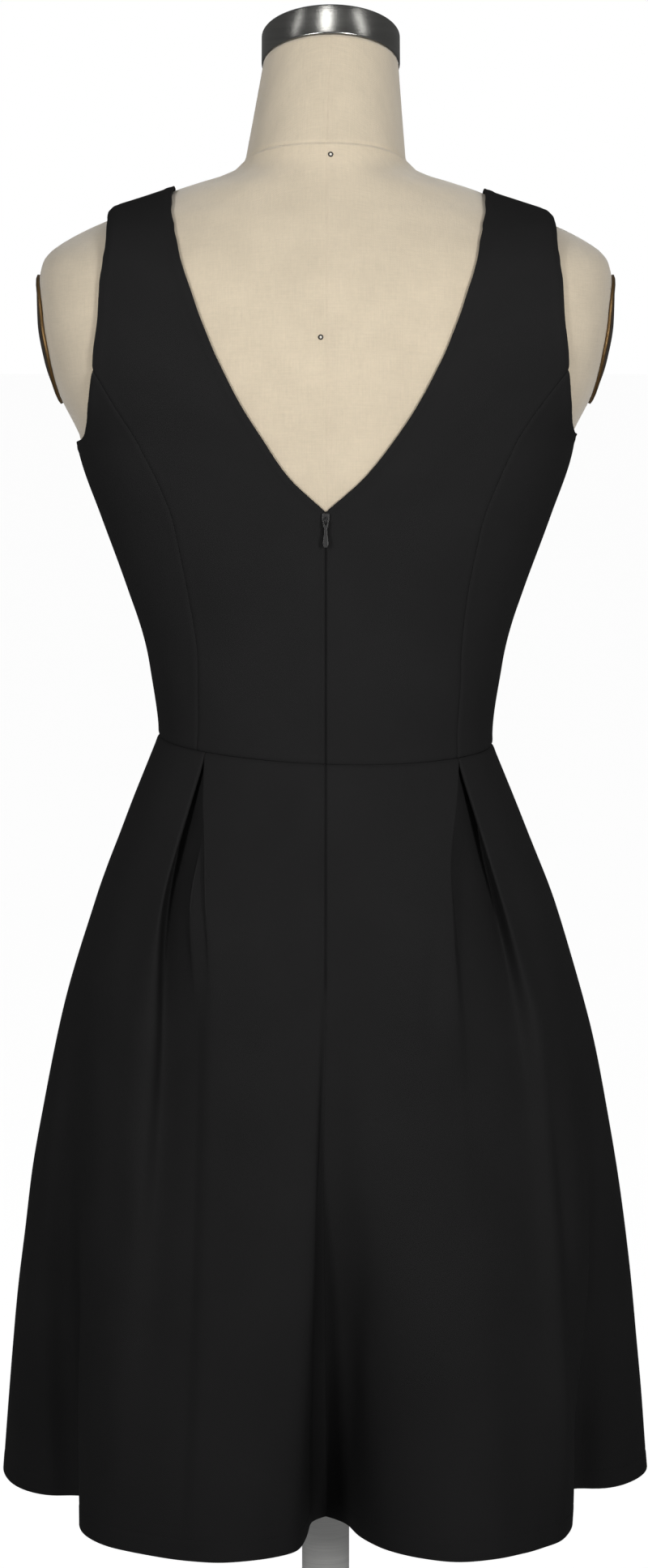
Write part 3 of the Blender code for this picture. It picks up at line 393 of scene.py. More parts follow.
CAP_RADIUS = 45.7
CAP_DEPTH = 21.5
CAP_SIDES = 128
CAP_ROUND = 1.2
CAP_RIM = 5
CAP_DISH = 1.2
PLATE_HEIGHT = 1305
PLATE_HALF_HEIGHT = 42
PLATE_HALF_DEPTH = 40
PLATE_THICKNESS = 1.6
PLATE_ROUND = 0.3
PLATE_CELLS = 48
PLATE_BEARINGS = (20, 160)  # between which a plate's points are looked for
POLE_RADIUS = 16
POLE_SIDES = 96
POLE_ROUND = 0.8
BASE_RADIUS = 195
BASE_THICKNESS = 8
HUB_RADIUS = 32
HUB_HEIGHT = 46
FOOT_SIDES = 128
FootRow = namedtuple("FootRow", "radius height")
FOOT_PROFILE = (
    FootRow(0, 0),
    FootRow(BASE_RADIUS - 2, 0),
    FootRow(BASE_RADIUS - 0.6, 0.6),
    FootRow(BASE_RADIUS, 2),
    FootRow(BASE_RADIUS, BASE_THICKNESS - 3.4),
    FootRow(BASE_RADIUS - 1.6, BASE_THICKNESS - 1.3),
    FootRow(BASE_RADIUS - 6, BASE_THICKNESS),
    FootRow(HUB_RADIUS + 60, BASE_THICKNESS + 1),
    FootRow(HUB_RADIUS + 24, BASE_THICKNESS + 3.6),
    FootRow(HUB_RADIUS + 10, BASE_THICKNESS + 7.4),
    FootRow(HUB_RADIUS + 4, BASE_THICKNESS + 11),
    FootRow(HUB_RADIUS + 1.4, BASE_THICKNESS + 16),
    FootRow(HUB_RADIUS, HUB_HEIGHT - 4),
    FootRow(HUB_RADIUS - 1, HUB_HEIGHT - 1.4),
    FootRow(HUB_RADIUS - 3.4, HUB_HEIGHT),
    FootRow(0, HUB_HEIGHT),
)
FOOT_CREASE = 50  # a turn sharper than this many degrees stays an edge
PULL_THICKNESS = 0.8
PULL_ROUND = 0.12
BRIDGE_RADIUS = 2.0
BRIDGE_WIRE = 0.45
BRIDGE_TURNS = 20
BRIDGE_SIDES = 12
BRIDGE_SUNK = 1.6  # how deep the bridge's feet go into the slider
AXLE_STAND = 0.9  # from the slider's back to the line that the pull turns about
SLOT_ROOM = 0.4  # between the bridge and the pull's slot
SLIDER_WIDTH = 5.2
SLIDER_LENGTH = 9.5
SLIDER_THICKNESS = 1.8
SLIDER_STAND = 0.4
SLIDER_ROUND = 0.5
SLIDER_FOOT_TAPER = 0.28
SLIDER_HEAD_TAPER = 0.1
SLIDER_HEIGHT = BACK_POINT - 5.5
# An edge that turns further than this is rounded, in radians
SLIDER_SHARP = 1.0
PULL_SHARP = 1.2
PullRow = namedtuple("PullRow", "below half_width")
PULL_ROWS = (
    PullRow(-0.4, 1.1),
    PullRow(0.2, 1.7),
    PullRow(3.2, 1.7),
    PullRow(4.6, 1.0),
    PullRow(8, 1.05),
    PullRow(12.5, 1.6),
    PullRow(15, 1.75),
    PullRow(16.6, 1.3),
    PullRow(17.2, 0.6),
)
# How far below the axle the pull's mesh has its rows, apart from those of its slot, and how many its body has
PULL_HEAD_DEPTHS = (-0.4, -0.2, 0.1)
PULL_FOOT_DEPTHS = (16.8, 17.05, 17.2)
PULL_BODY_END = 16.4
PULL_BODY_ROWS = 26
PULL_SLOT_ROWS = 7
SLOT_SHARE = 0.55  # the most of the pull's half width that its slot takes
SLOT_MIDDLE_SHARE = 0.4
Pin = namedtuple("Pin", "x z")
PINS = (Pin(3.2, 1424), Pin(-3.2, 1307))
PIN_RADIUS = 0.85
PIN_FLATNESS = 0.6
PIN_STAND = 0.2
PIN_SIDES, PIN_RINGS = 16, 10
PIN_BEARINGS = (-20, 20)  # between which the pins are looked for
PIN_CUP_SIDES = 24
PIN_CUP_RADIUS = 1.75
CupRow = namedtuple("CupRow", "radius height")  # the cup's profile, with its radius as a share of the whole
PIN_CUP = (
    CupRow(0.46, -0.4),
    CupRow(0.54, 0.35),
    CupRow(0.75, 0.55),
    CupRow(0.92, 0.45),
    CupRow(1.0, 0.1),
    CupRow(1.0, -0.4),
)

# The flat cut of what shows of each panel, in metres.
Cut = namedtuple("Cut", "width length area")
CUTS = {
    "bodice_centre_back": Cut(0.111, 0.466, 0.0345),
    "bodice_side_back": Cut(0.106, 0.274, 0.0208),
    "bodice_side_front": Cut(0.144, 0.297, 0.0265),
    "bodice_centre_front": Cut(0.286, 0.456, 0.0767),
    "skirt_back": Cut(0.487, 0.525, 0.156),
    "skirt_front": Cut(0.773, 0.521, 0.295),
}


class Curve:
    """A smooth line through a table's points that never swings past them."""

    def __init__(self, places, values):
        self.places = [float(p) for p in places]
        self.values = [float(v) for v in values]
        steps = np.diff(self.places)
        rises = np.diff(self.values) / steps
        self.slopes = [rises[0]]
        for k in range(1, len(steps)):
            before, after = rises[k - 1], rises[k]
            if before * after <= 0:
                self.slopes.append(0.0)
                continue
            w1 = 2 * steps[k] + steps[k - 1]
            w2 = steps[k] + 2 * steps[k - 1]
            self.slopes.append((w1 + w2) / (w1 / before + w2 / after))
        self.slopes.append(rises[-1])

    def __call__(self, place):
        place = min(max(place, self.places[0]), self.places[-1])
        k = min(bisect_right(self.places, place), len(self.places) - 1) - 1
        step = self.places[k + 1] - self.places[k]
        t = (place - self.places[k]) / step
        s = 1 - t
        return (
            s * s * (1 + 2 * t) * self.values[k]
            + t * t * (3 - 2 * t) * self.values[k + 1]
            + step * t * s * (s * self.slopes[k] - t * self.slopes[k + 1])
        )


def columns_of(table, key):
    """A Curve for each further column of a table, against the column named key."""
    places = [getattr(row, key) for row in table]
    names = [n for n in table[0]._fields if n != key]
    return {n: Curve(places, [getattr(row, n) for row in table]) for n in names}


FORM = columns_of(FORM_SECTIONS, "height")
SKIRT = columns_of(SKIRT_SECTIONS, "drop")
SOFTNESS = columns_of(SOFTNESS_ROWS, "share")["reach"]


def solve(rule, wanted, low, high):
    """Where a rising or falling rule reaches the wanted value."""
    rising = rule(high) > rule(low)
    for _ in range(HALVINGS):
        middle = (low + high) / 2
        if (rule(middle) < wanted) == rising:
            low = middle
        else:
            high = middle
    return (low + high) / 2


def smooth_step(share):
    share = np.clip(share, 0, 1)
    return share * share * (3 - 2 * share)


def between(share):
    return min(max(share, 0), 1)


def rolls(table, distance):
    """The lift that a table of ridges and grooves gives at a distance from their edge."""
    return sum(row.height * np.exp(-(((distance - row.distance) / row.width) ** 2)) for row in table)


def place_round(radius, bearing, height):
    """The point at a distance from the body's middle line."""
    angle = math.radians(bearing)
    return radius * math.sin(angle), -radius * math.cos(angle), height


def section_radius(sizes, place, bearing):
    """Radius of a rounded section, which may be deeper at the front than at the back."""
    angle = math.radians(bearing)
    depth = sizes["back" if math.cos(angle) > 0 else "front"](place)
    power = sizes["squareness"](place)
    across = abs(math.sin(angle)) / sizes["half_width"](place)
    along = abs(math.cos(angle)) / depth
    return (across**power + along**power) ** (-1 / power)


def cup(bearing, height):
    """The rise of the bust form over the plain section."""
    reach = CUP_ABOVE if height > CUP_HEIGHT else CUP_BELOW
    turned = abs((bearing + 180) % 360 - 180)
    round_body = (turned - CUP_BEARING) / CUP_SPREAD
    up_body = (height - CUP_HEIGHT) / reach
    return CUP_RISE * math.exp(-round_body * round_body - up_body * up_body)


def form_point(bearing, height):
    radius = section_radius(FORM, height, bearing) + cup(bearing, height)
    return Vector(place_round(radius, bearing, height))


def form_normal(bearing, height):
    turn, rise = 0.5, 0.5
    round_body = form_point(bearing + turn, height) - form_point(bearing - turn, height)
    up_body = form_point(bearing, height + rise) - form_point(bearing, height - rise)
    return round_body.cross(up_body).normalized()


def bearing_at(half_width, height, front=False):
    """The bearing at which the form is this wide, on its back or on its front."""
    low, high = (90, 180) if front else (0, 90)
    return solve(lambda b: form_point(b, height).x, half_width, low, high)


def ridge_height(half_width):
    """Height of the shoulder's ridge at a distance from the neck."""
    return solve(FORM["half_width"], half_width, SHOULDER_FOOT, NAPE)


def waist_seam(bearing):
    """Height of the waist seam, which dips at the centre back and centre front."""
    angle = math.radians(bearing)
    dip = WAIST_DIP_BACK if math.cos(angle) > 0 else WAIST_DIP_FRONT
    return WAIST - dip * abs(math.cos(angle)) - WAIST_TILT * math.sin(angle)


# ---------------------------------------------------------------- finishes


class Signal:
    """A number on its way through a finish. Sums with it add the nodes that work them out."""

    def __init__(self, finish, socket):
        self.finish = finish
        self.socket = socket

    def worked(self, operation, *values):
        return self.finish.node("ShaderNodeMath", {"operation": operation}, dict(enumerate(values)))

    def __add__(self, other):
        return self.worked("ADD", self, other)

    def __sub__(self, other):
        return self.worked("SUBTRACT", self, other)

    def __mul__(self, other):
        return self.worked("MULTIPLY", self, other)

    def __pow__(self, other):
        return self.worked("POWER", self, other)

    def sine(self):
        return self.worked("SINE", self)

    def clipped(self):
        return self.finish.node("ShaderNodeClamp", {}, {0: self, 1: 0.0, 2: 1.0})


class Finish:
    """A material under its maker's name, and the nodes that give it its look."""

    def __init__(self, name, **fixed):
        self.material = bpy.data.materials.new(name)
        self.material.use_nodes = True
        self.tree = self.material.node_tree
        self.shader = self.tree.nodes["Principled BSDF"]
        for socket, value in fixed.items():
            self.shader.inputs[socket.replace("_", " ").title().replace("Ior", "IOR")].default_value = value

    def node(self, kind, settings, values, output=0):
        made = self.tree.nodes.new(kind)
        for name, value in settings.items():
            setattr(made, name, value)
        for socket, value in values.items():
            self.feed(made.inputs[socket], value)
        return Signal(self, made.outputs[output])

    def feed(self, socket, value):
        if isinstance(value, Signal):
            self.tree.links.new(value.socket, socket)
        else:
            socket.default_value = value

    def wear(self, **values):
        """Feeds the shader's own sockets."""
        for socket, value in values.items():
            self.feed(self.shader.inputs[socket.replace("_", " ").title()], value)
        return self.material

    def place(self):
        return self.node("ShaderNodeTexCoord", {}, {}, output=3)

    def cut_place(self):
        return self.node("ShaderNodeUVMap", {"uv_map": "cut"}, {})

    def part(self, vector, axis):
        return self.node("ShaderNodeSeparateXYZ", {}, {0: vector}, output=axis)

    def turned(self, vector, scale, rotation=(0, 0, 0)):
        values = {"Vector": vector, "Scale": scale, "Rotation": rotation}
        return self.node("ShaderNodeMapping", {}, values)

    def noise(self, vector, scale, detail=2.0, roughness=0.5):
        values = {"Vector": vector, "Scale": scale, "Detail": detail, "Roughness": roughness}
        return self.node("ShaderNodeTexNoise", {}, values)

    def blend(self, amount, first, second):
        values = {0: amount, 6: (*first, 1) if isinstance(first, tuple) else first}
        values[7] = (*second, 1) if isinstance(second, tuple) else second
        return self.node("ShaderNodeMix", {"data_type": "RGBA"}, values, output=2)

    def relief(self, height, distance, strength=1.0):
        values = {"Strength": strength, "Distance": distance, "Height": height}
        return self.node("ShaderNodeBump", {}, values)


def shade(colour, factor):
    return tuple(c * factor for c in colour)


def crepe():
    """Matte black double-knit crepe: fine wales, a crinkled face, a little bloom and a few paler fibres."""
    sizes = bpy.context.scene.dress_crepe
    finish = Finish("black_crepe", specular_ior_level=0.12)
    flat = finish.cut_place()
    wales = (finish.part(flat, 0) * (math.tau / sizes.wale)).sine()
    courses = (finish.part(flat, 1) * (math.tau / sizes.course)).sine()
    crinkle = finish.noise(flat, 1300, 3.0, 0.6)
    cloudy = finish.noise(flat, 14, 3.0)
    fibres = finish.noise(finish.turned(flat, (2600, 420, 1), (0, 0, 0.6)), 1, 1.0)
    lint = ((fibres - 0.74) * 9).clipped()
    colour = tuple(sizes.colour)
    tone = (cloudy * 0.7 + crinkle * 0.6 - 0.15).clipped()
    body = finish.blend(tone, shade(colour, 0.72), shade(colour, 1.25))
    face = finish.blend(lint * 0.5, body, shade(colour, 3.0))
    height = crinkle * 0.7 + wales * courses * 0.18
    return finish.wear(
        base_color=face,
        roughness=crinkle * 0.14 + 0.78,
        normal=finish.relief(height, 0.0003, 0.7),
    )


def linen():
    """Natural linen in a plain weave, with slubs along both threads and soft mottling."""
    sizes = bpy.context.scene.dress_linen
    finish = Finish("natural_linen", specular_ior_level=0.2, sheen_weight=0.5, sheen_roughness=0.5)
    flat = finish.cut_place()
    across = (finish.part(flat, 0) * (math.tau / sizes.thread)).sine()
    along = (finish.part(flat, 1) * (math.tau / sizes.thread)).sine()
    warp = finish.noise(finish.turned(flat, (1500, 60, 1)), 1, 2.0, 0.6)
    weft = finish.noise(finish.turned(flat, (60, 1500, 1)), 1, 2.0, 0.6)
    mottle = finish.noise(flat, 32, 4.0, 0.6)
    specks = finish.noise(flat, 420, 2.0, 0.7)
    tone = (warp * 0.55 + weft * 0.55 + mottle * 0.8 + specks * 0.4 - 0.65).clipped()
    colour = tuple(sizes.colour)
    height = across * along * 0.22 + warp * 0.6 + weft * 0.6
    return finish.wear(
        base_color=finish.blend(tone, shade(colour, 0.82), shade(colour, 1.1)),
        roughness=mottle * 0.12 + 0.82,
        normal=finish.relief(height, 0.00025, 0.8),
    )


def steel(name, rotation=(0, 0, 0), tone=(0.36, 0.36, 0.345), dullness=0.08, metal=1.0):
    """Brushed or plated steel with fine lines round the piece and duller patches from handling. Where metal
    is below one, its pale tone is partly a painted reflection.
    """
    finish = Finish(name, metallic=metal, anisotropic=0.8)
    where = finish.place()
    lines = finish.noise(finish.turned(where, (25, 25, 2600), rotation), 1, 3.0, 0.7)
    bands = finish.noise(finish.turned(where, (9, 9, 320), rotation), 1, 2.0)
    patches = finish.noise(where, 38, 3.0)
    bright = (lines * 0.7 + bands * 0.5 - 0.1).clipped()
    return finish.wear(
        base_color=finish.blend(bright, shade(tone, 0.68), shade(tone, 1.2)),
        roughness=lines * 0.12 + patches * 0.08 + dullness,
        normal=finish.relief(lines, 0.00006, 0.6),
    )


def bronze():
    """Dark bronzed plate with a brass band round its rim, which is a painted glint."""
    finish = Finish("bronzed_plate", metallic=1.0, specular_ior_level=0.4)
    flat = finish.cut_place()
    across, up = finish.part(flat, 0), finish.part(flat, 1)
    out = (across * across + up * up) ** 0.5
    brushed = finish.noise(finish.turned(flat, (40, 1600, 1)), 1, 2.0)
    patina = finish.noise(flat, 90, 4.0, 0.6)
    # rim masks a brass band round the plate's edge, a painted glint
    rim = ((out + patina * 0.0016 - 0.0398) * 900).clipped()
    dark = finish.blend(patina, (0.035, 0.02, 0.012), (0.10, 0.055, 0.03))
    return finish.wear(
        base_color=finish.blend(rim, dark, (0.26, 0.165, 0.075)),
        roughness=brushed * 0.18 + patina * 0.2 + 0.22,
        normal=finish.relief(brushed, 0.00005, 0.5),
    )


def enamel():
    """Pale enamel on a pin's head, a little yellowed and worn; its pale colour is a painted highlight."""
    finish = Finish("pin_head_painted_highlight", coat_weight=0.4, coat_roughness=0.1)
    wear = finish.noise(finish.place(), 900, 2.0)
    return finish.wear(
        # the pale head colour is a painted highlight
        base_color=finish.blend(wear, (0.78, 0.74, 0.66), (0.9, 0.88, 0.82)), roughness=wear * 0.2 + 0.2
    )


def painted(name, colour, worn, roughness, grain):
    """Paint over metal, with the metal's own texture under it and a little wear."""
    finish = Finish(name, specular_ior_level=0.45)
    where = finish.place()
    cast = finish.noise(where, grain, 4.0, 0.6)
    scuffs = finish.noise(finish.turned(where, (1, 5, 1), (0.3, 0.2, 0.5)), grain / 7, 5.0, 0.7)
    mark = ((scuffs - 0.62) * 8).clipped()
    paint = finish.blend(cast, shade(colour, 0.8), shade(colour, 1.2))
    return finish.wear(
        base_color=finish.blend(mark * 0.35, paint, worn),
        roughness=cast * 0.2 + mark * 0.12 + roughness,
        normal=finish.relief(cast, 0.05 / grain, 0.5),
    )


def floor_paint():
    """White studio paint that glows a little, so that the floor runs on into the backdrop."""
    glow = {"emission_color": (1, 1, 1, 1), "emission_strength": 0.7}
    finish = Finish("studio_floor_white", specular_ior_level=0.1, **glow)
    clouds = finish.noise(finish.place(), 3, 2.0)
    colour = tuple(bpy.context.scene.dress_studio.floor_colour)
    return finish.wear(
        base_color=finish.blend(clouds, shade(colour, 0.99), colour), roughness=clouds * 0.1 + 0.8
    )


FINISHES = {
    "crepe": crepe,
    "linen": linen,
    "cap_steel": lambda: steel("brushed_cap_steel", (math.radians(NECK_TILT), 0, 0)),
    # the pole's pale, mostly non-metal tone is a painted reflection that stands in for the plating's shine
    "pole_steel": lambda: steel("satin_plated_pole_painted_reflection", tone=(0.8, 0.8, 0.785), dullness=0.3, metal=0.2),
    "bronze": bronze,
    "enamel": enamel,
    "dark_cup": lambda: painted("pin_cup_dark", (0.016, 0.012, 0.009), (0.12, 0.09, 0.06), 0.35, 2600),
    "zip": lambda: painted("zip_enamel_black", (0.012, 0.012, 0.013), (0.10, 0.10, 0.10), 0.28, 1400),
    "iron": lambda: painted("satin_black_iron", (0.018, 0.018, 0.018), (0.09, 0.085, 0.08), 0.32, 160),
    "floor": floor_paint,
}
worn_finishes = {}


def finish_of(kind):
    if kind not in worn_finishes:
        worn_finishes[kind] = FINISHES[kind]()
    return worn_finishes[kind]


# ---------------------------------------------------------------- making pieces


def add_piece(name, bm, kind, node=None, slot=None, body="root"):
    """Ends the modelling of a piece, whose points are in millimetres in the part's own frame."""
    bmesh.ops.transform(bm, matrix=Matrix.Scale(MM, 4), verts=bm.verts)
    mesh = bpy.data.meshes.new(name)
    bm.to_mesh(mesh)
    bm.free()
    mesh.materials.append(finish_of(kind))
    mesh.shade_smooth()
    piece = bpy.data.objects.new(name, mesh)
    bpy.context.scene.collection.objects.link(piece)
    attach(piece, body)
    if node:
        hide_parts(node)
    return piece


# A patch is a grid of points and normals in a wall's outer face, with the wall's thickness at each point and
# its place in the flat cut in metres.
Patch = namedtuple("Patch", "points normals thickness flat")


def steps_along(points, axis):
    """Travel along a grid from its first row or column, in millimetres."""
    lengths = np.linalg.norm(np.diff(points, axis=axis), axis=2)
    return np.insert(np.cumsum(lengths, axis=axis), 0, 0, axis=axis)


def grid_normals(points):
    """Outward normals of a grid whose columns run to the wearer's right and whose rows run up."""
    across = np.gradient(points, axis=1)
    up = np.gradient(points, axis=0)
    normals = np.cross(across, up)
    return normals / np.maximum(np.linalg.norm(normals, axis=2, keepdims=True), 1e-9)


def lay_flat(points, middle):
    """Each point's place in the flat cut, counted from the panel's middle line and its foot."""
    across = steps_along(points, 1)
    across = across - across[:, middle : middle + 1]
    return np.dstack((across, steps_along(points, 0))) * MM


def add_grid(bm, columns, rows):
    """A grid's points, each with its row and column."""
    made = bmesh.ops.create_grid(bm, x_segments=columns - 1, y_segments=rows - 1, size=1)["verts"]
    return {v: (round((v.co.y + 1) / 2 * (rows - 1)), round((v.co.x + 1) / 2 * (columns - 1))) for v in made}


def lay_cut(cut, cells, flat):
    """Gives the faces of a grid their places in the flat cut."""
    for face in {f for v in cells for f in v.link_faces}:
        for loop in face.loops:
            loop[cut].uv = flat[cells[loop.vert]]


def round_edges(bm, edges, offset, segments, **more):
    bmesh.ops.bevel(
        bm,
        geom=edges,
        offset=offset,
        segments=segments,
        profile=0.5,
        affect="EDGES",
        material=-1,
        **more,
    )


def sharp_edges(bm, turn):
    return [e for e in bm.edges if e.calc_face_angle(0) > turn]


def add_cylinder(bm, radius, length, sides, rounding, steps):
    """A cylinder about the middle of the frame, with rounded rims."""
    bmesh.ops.create_cone(bm, cap_ends=True, segments=sides, radius1=radius, radius2=radius, depth=length)
    rims = [e for e in bm.edges if abs(e.verts[0].co.z - e.verts[1].co.z) < 0.01]
    round_edges(bm, rims, rounding, steps)


def add_wall(name, patches, kind, rounding=EDGE_ROUND, **as_piece):
    """A wall with rounded edges from one or more patches; those that share an edge become one sheet."""
    bm = bmesh.new()
    outward = bm.verts.layers.float_vector.new("outward")
    cut = bm.loops.layers.uv.new("cut")
    for patch in patches:
        rows, columns = patch.points.shape[:2]
        cells = add_grid(bm, columns, rows)
        for vert, cell in cells.items():
            wall = patch.normals[cell] * patch.thickness[cell]
            vert.co = patch.points[cell] - wall
            vert[outward] = wall
        lay_cut(cut, cells, patch.flat)
    bmesh.ops.remove_doubles(bm, verts=bm.verts, dist=WALL_MERGE)
    inner = set(bm.faces)
    made = bmesh.ops.extrude_face_region(bm, geom=bm.faces[:], use_keep_orig=True)["geom"]
    for item in made:
        if isinstance(item, bmesh.types.BMVert):
            item.co += item[outward]
    outer = {item for item in made if isinstance(item, bmesh.types.BMFace)}
    rim = {f for f in bm.faces if f not in inner and f not in outer}
    corners = {e for f in rim for e in f.edges if any(g not in rim for g in e.link_faces)}
    bmesh.ops.recalc_face_normals(bm, faces=bm.faces)
    round_edges(bm, list(corners), rounding, 2, clamp_overlap=True)
    return add_piece(name, bm, kind, **as_piece)


def loft(bm, rings):
    """A closed body through rings with equally many points."""
    loops = []
    for ring in rings:
        verts = [bm.verts.new(point) for point in ring]
        loops.append([bm.edges.new((a, b)) for a, b in zip(verts, verts[1:] + verts[:1])])
    faces = []
    for low, high in zip(loops, loops[1:]):
        faces += bmesh.ops.bridge_loops(bm, edges=low + high)["faces"]
    faces += bmesh.ops.contextual_create(bm, geom=loops[0])["faces"]
    faces += bmesh.ops.contextual_create(bm, geom=loops[-1])["faces"]
    bmesh.ops.recalc_face_normals(bm, faces=faces)


def shares(count, length, low=EDGE_STEPS):
    """Even shares from 0 to 1, with further ones at set distances from either end of a length."""
    near_low = [d / length for d in low]
    near_high = [1 - d / length for d in EDGE_STEPS]
    start = near_low[-1] * EVEN_START
    end = 1 - (1 - near_high[-1]) * EVEN_START
    even = [k / count for k in range(count + 1) if start < k / count < end]
    return sorted({0.0, 1.0, *near_low, *near_high, *even})


def crease(points, creases):
    """How far the listed creases lift each point of a grid."""
    lift = np.zeros(points.shape[:2])
    for line in creases:
        start, end = np.array((line.x0, line.z0)), np.array((line.x1, line.z1))
        along = end - start
        length = np.linalg.norm(along)
        along = along / length
        aside = np.array((-along[1], along[0]))
        place = points[:, :, (0, 2)] - start
        share = np.clip(place @ along / length, 0, 1)
        off = place @ aside - line.bow * 4 * share * (1 - share)
        beyond = place @ along - share * length
        width = np.where((off < 0) == (along[1] < 0), line.left_width, line.right_width)
        near = np.exp(-((off / width) ** 2) - (beyond / width) ** 2)
        swell = np.sin(math.pi * np.clip(share, CREASE_END, 1 - CREASE_END)) ** CREASE_SWELL
        facing = points[:, :, 1] < 0 if line.behind else points[:, :, 1] > 0
        lift += line.depth * near * swell * facing
    return lift


def ripple(points, height):
    """The slight unevenness that keeps a hanging cloth from looking drawn with a ruler."""
    total = np.zeros(points.shape[:2])
    for k, row in enumerate(RIPPLES):
        wave = points @ np.array((row.x, row.y, row.z)) * RIPPLE_PACE + row.phase
        total += np.sin(wave + RIPPLE_WANDER * np.sin(wave * RIPPLE_WANDER_PACE + k)) / (1 + RIPPLE_FADE * k)
    return total * height / 2


# ---------------------------------------------------------------- bodice


def trace(places):
    """Evenly spaced travel along a smooth line of (bearing, height) places on the form."""
    knots = list(range(len(places)))
    bearings = Curve(knots, [p[0] for p in places])
    heights = Curve(knots, [p[1] for p in places])
    fine = np.linspace(0, knots[-1], TRACE_STEPS * len(places))
    points = [form_point(bearings(k), heights(k)) for k in fine]
    lengths = [0.0]
    for a, b in zip(points, points[1:]):
        lengths.append(lengths[-1] + (b - a).length)

    def travel(share):
        k = np.interp(share * lengths[-1], lengths, fine)
        return np.array((bearings(k), heights(k)))

    return travel


def joined(first, second, corner):
    """One panel edge made of two, with its corner at a share of the panel's height."""

    def travel(share):
        if share <= corner:
            return first(share / corner)
        return second((share - corner) / (1 - corner))

    return travel


def ease(bearing, height):
    """Room between the form and the cloth's inner face."""
    waist = WAIST_EASE * (1 - smooth_step((height - WAIST) / WAIST_EASE_REACH))
    side = 1 if bearing > 0 else -1
    across = abs(form_point(bearing, height).x)
    strap = between((across - STRAP_INSIDE[side]) / (STRAP_OUTSIDE[side] - STRAP_INSIDE[side]))
    up = between((height - SHOULDER_FOOT) / STRAP_RISE)
    bust = min(cup(bearing, height) / CUP_RISE * 2, 1) * BUST_CLEARANCE
    rounded = 1 - STRAP_FALL * max(strap - STRAP_CREST, 0) ** 2 / (1 - STRAP_CREST) ** 2
    return CLEARANCE + waist + bust + STRAP_STAND * strap * rounded * up


def cloth_point(bearing, height, thickness):
    """A place on the bodice's outer face and its outward normal, which is level at the waist seam."""
    normal = form_normal(bearing, height)
    normal.z *= between((height - waist_seam(bearing)) / LEVEL_REACH)
    normal.normalize()
    return form_point(bearing, height) + normal * (ease(bearing, height) + thickness), normal


def faced_profile(distance):
    """An edge with a facing is thicker, and has a line of stitches just inside it."""
    return FACING * (1 - smooth_step((distance - FACING_REACH) / FACING_FADE)) + rolls(FACING_ROLLS, distance)


def bodice_patch(bottom, top, left, right, across, up, sewn, thickness, middle):
    """A panel spanned between its four edges, each a travel from 0 to 1 in bearing and height.

    sewn says how each edge ends: 1 for a seam, 0 where it is faced and 2 for a fold, or an array by rows.
    """
    points = np.empty((len(up), len(across), 3))
    normals = np.empty_like(points)
    lows, highs = [bottom(u) for u in across], [top(u) for u in across]
    lefts, rights = [left(v) for v in up], [right(v) for v in up]
    for j, v in enumerate(up):
        for i, u in enumerate(across):
            spanned = (1 - u) * lefts[j] + u * rights[j] + (1 - v) * lows[i] + v * highs[i]
            low, high = (1 - u) * lows[0] + u * lows[-1], (1 - u) * highs[0] + u * highs[-1]
            corners = (1 - v) * low + v * high
            points[j, i], normals[j, i] = cloth_point(*(spanned - corners), thickness)
    rows, columns = np.ones(len(up)), np.ones(len(across))
    sewn = {edge: value * (columns if edge in ("bottom", "top") else rows) for edge, value in sewn.items()}
    return shaped_panel(points, normals, sewn, thickness, middle)


def shaped_panel(points, normals, sewn, thickness, middle):
    """Gives a bodice panel its seams, faced edges and slight unevenness."""
    across, along = steps_along(points, 1), steps_along(points, 0)
    distances = {
        "left": (across, sewn["left"][:, None]),
        "right": (across[:, -1:] - across, sewn["right"][:, None]),
        "bottom": (along, sewn["bottom"][None, :]),
        "top": (along[-1:] - along, sewn["top"][None, :]),
    }
    lift = ripple(points, BODICE_RIPPLE)
    wall = np.full(points.shape[:2], float(thickness))
    for edge, (distance, is_sewn) in distances.items():
        at_zip = edge == "left" and abs(points[0, 0, 0]) < CENTRE_REACH and points[0, 0, 1] < 0
        profile = rolls(ZIP_ROLLS if at_zip else SEAM_ROLLS, distance)
        if edge == "bottom":
            profile += rolls(WAIST_ROLLS, distance)
        faced = (is_sewn == 0) * faced_profile(distance)
        lift += is_sewn * (is_sewn < 2) * profile + faced
        wall += faced
    points += normals * lift[:, :, None]
    return Patch(points, normals, wall, lay_flat(points, middle))


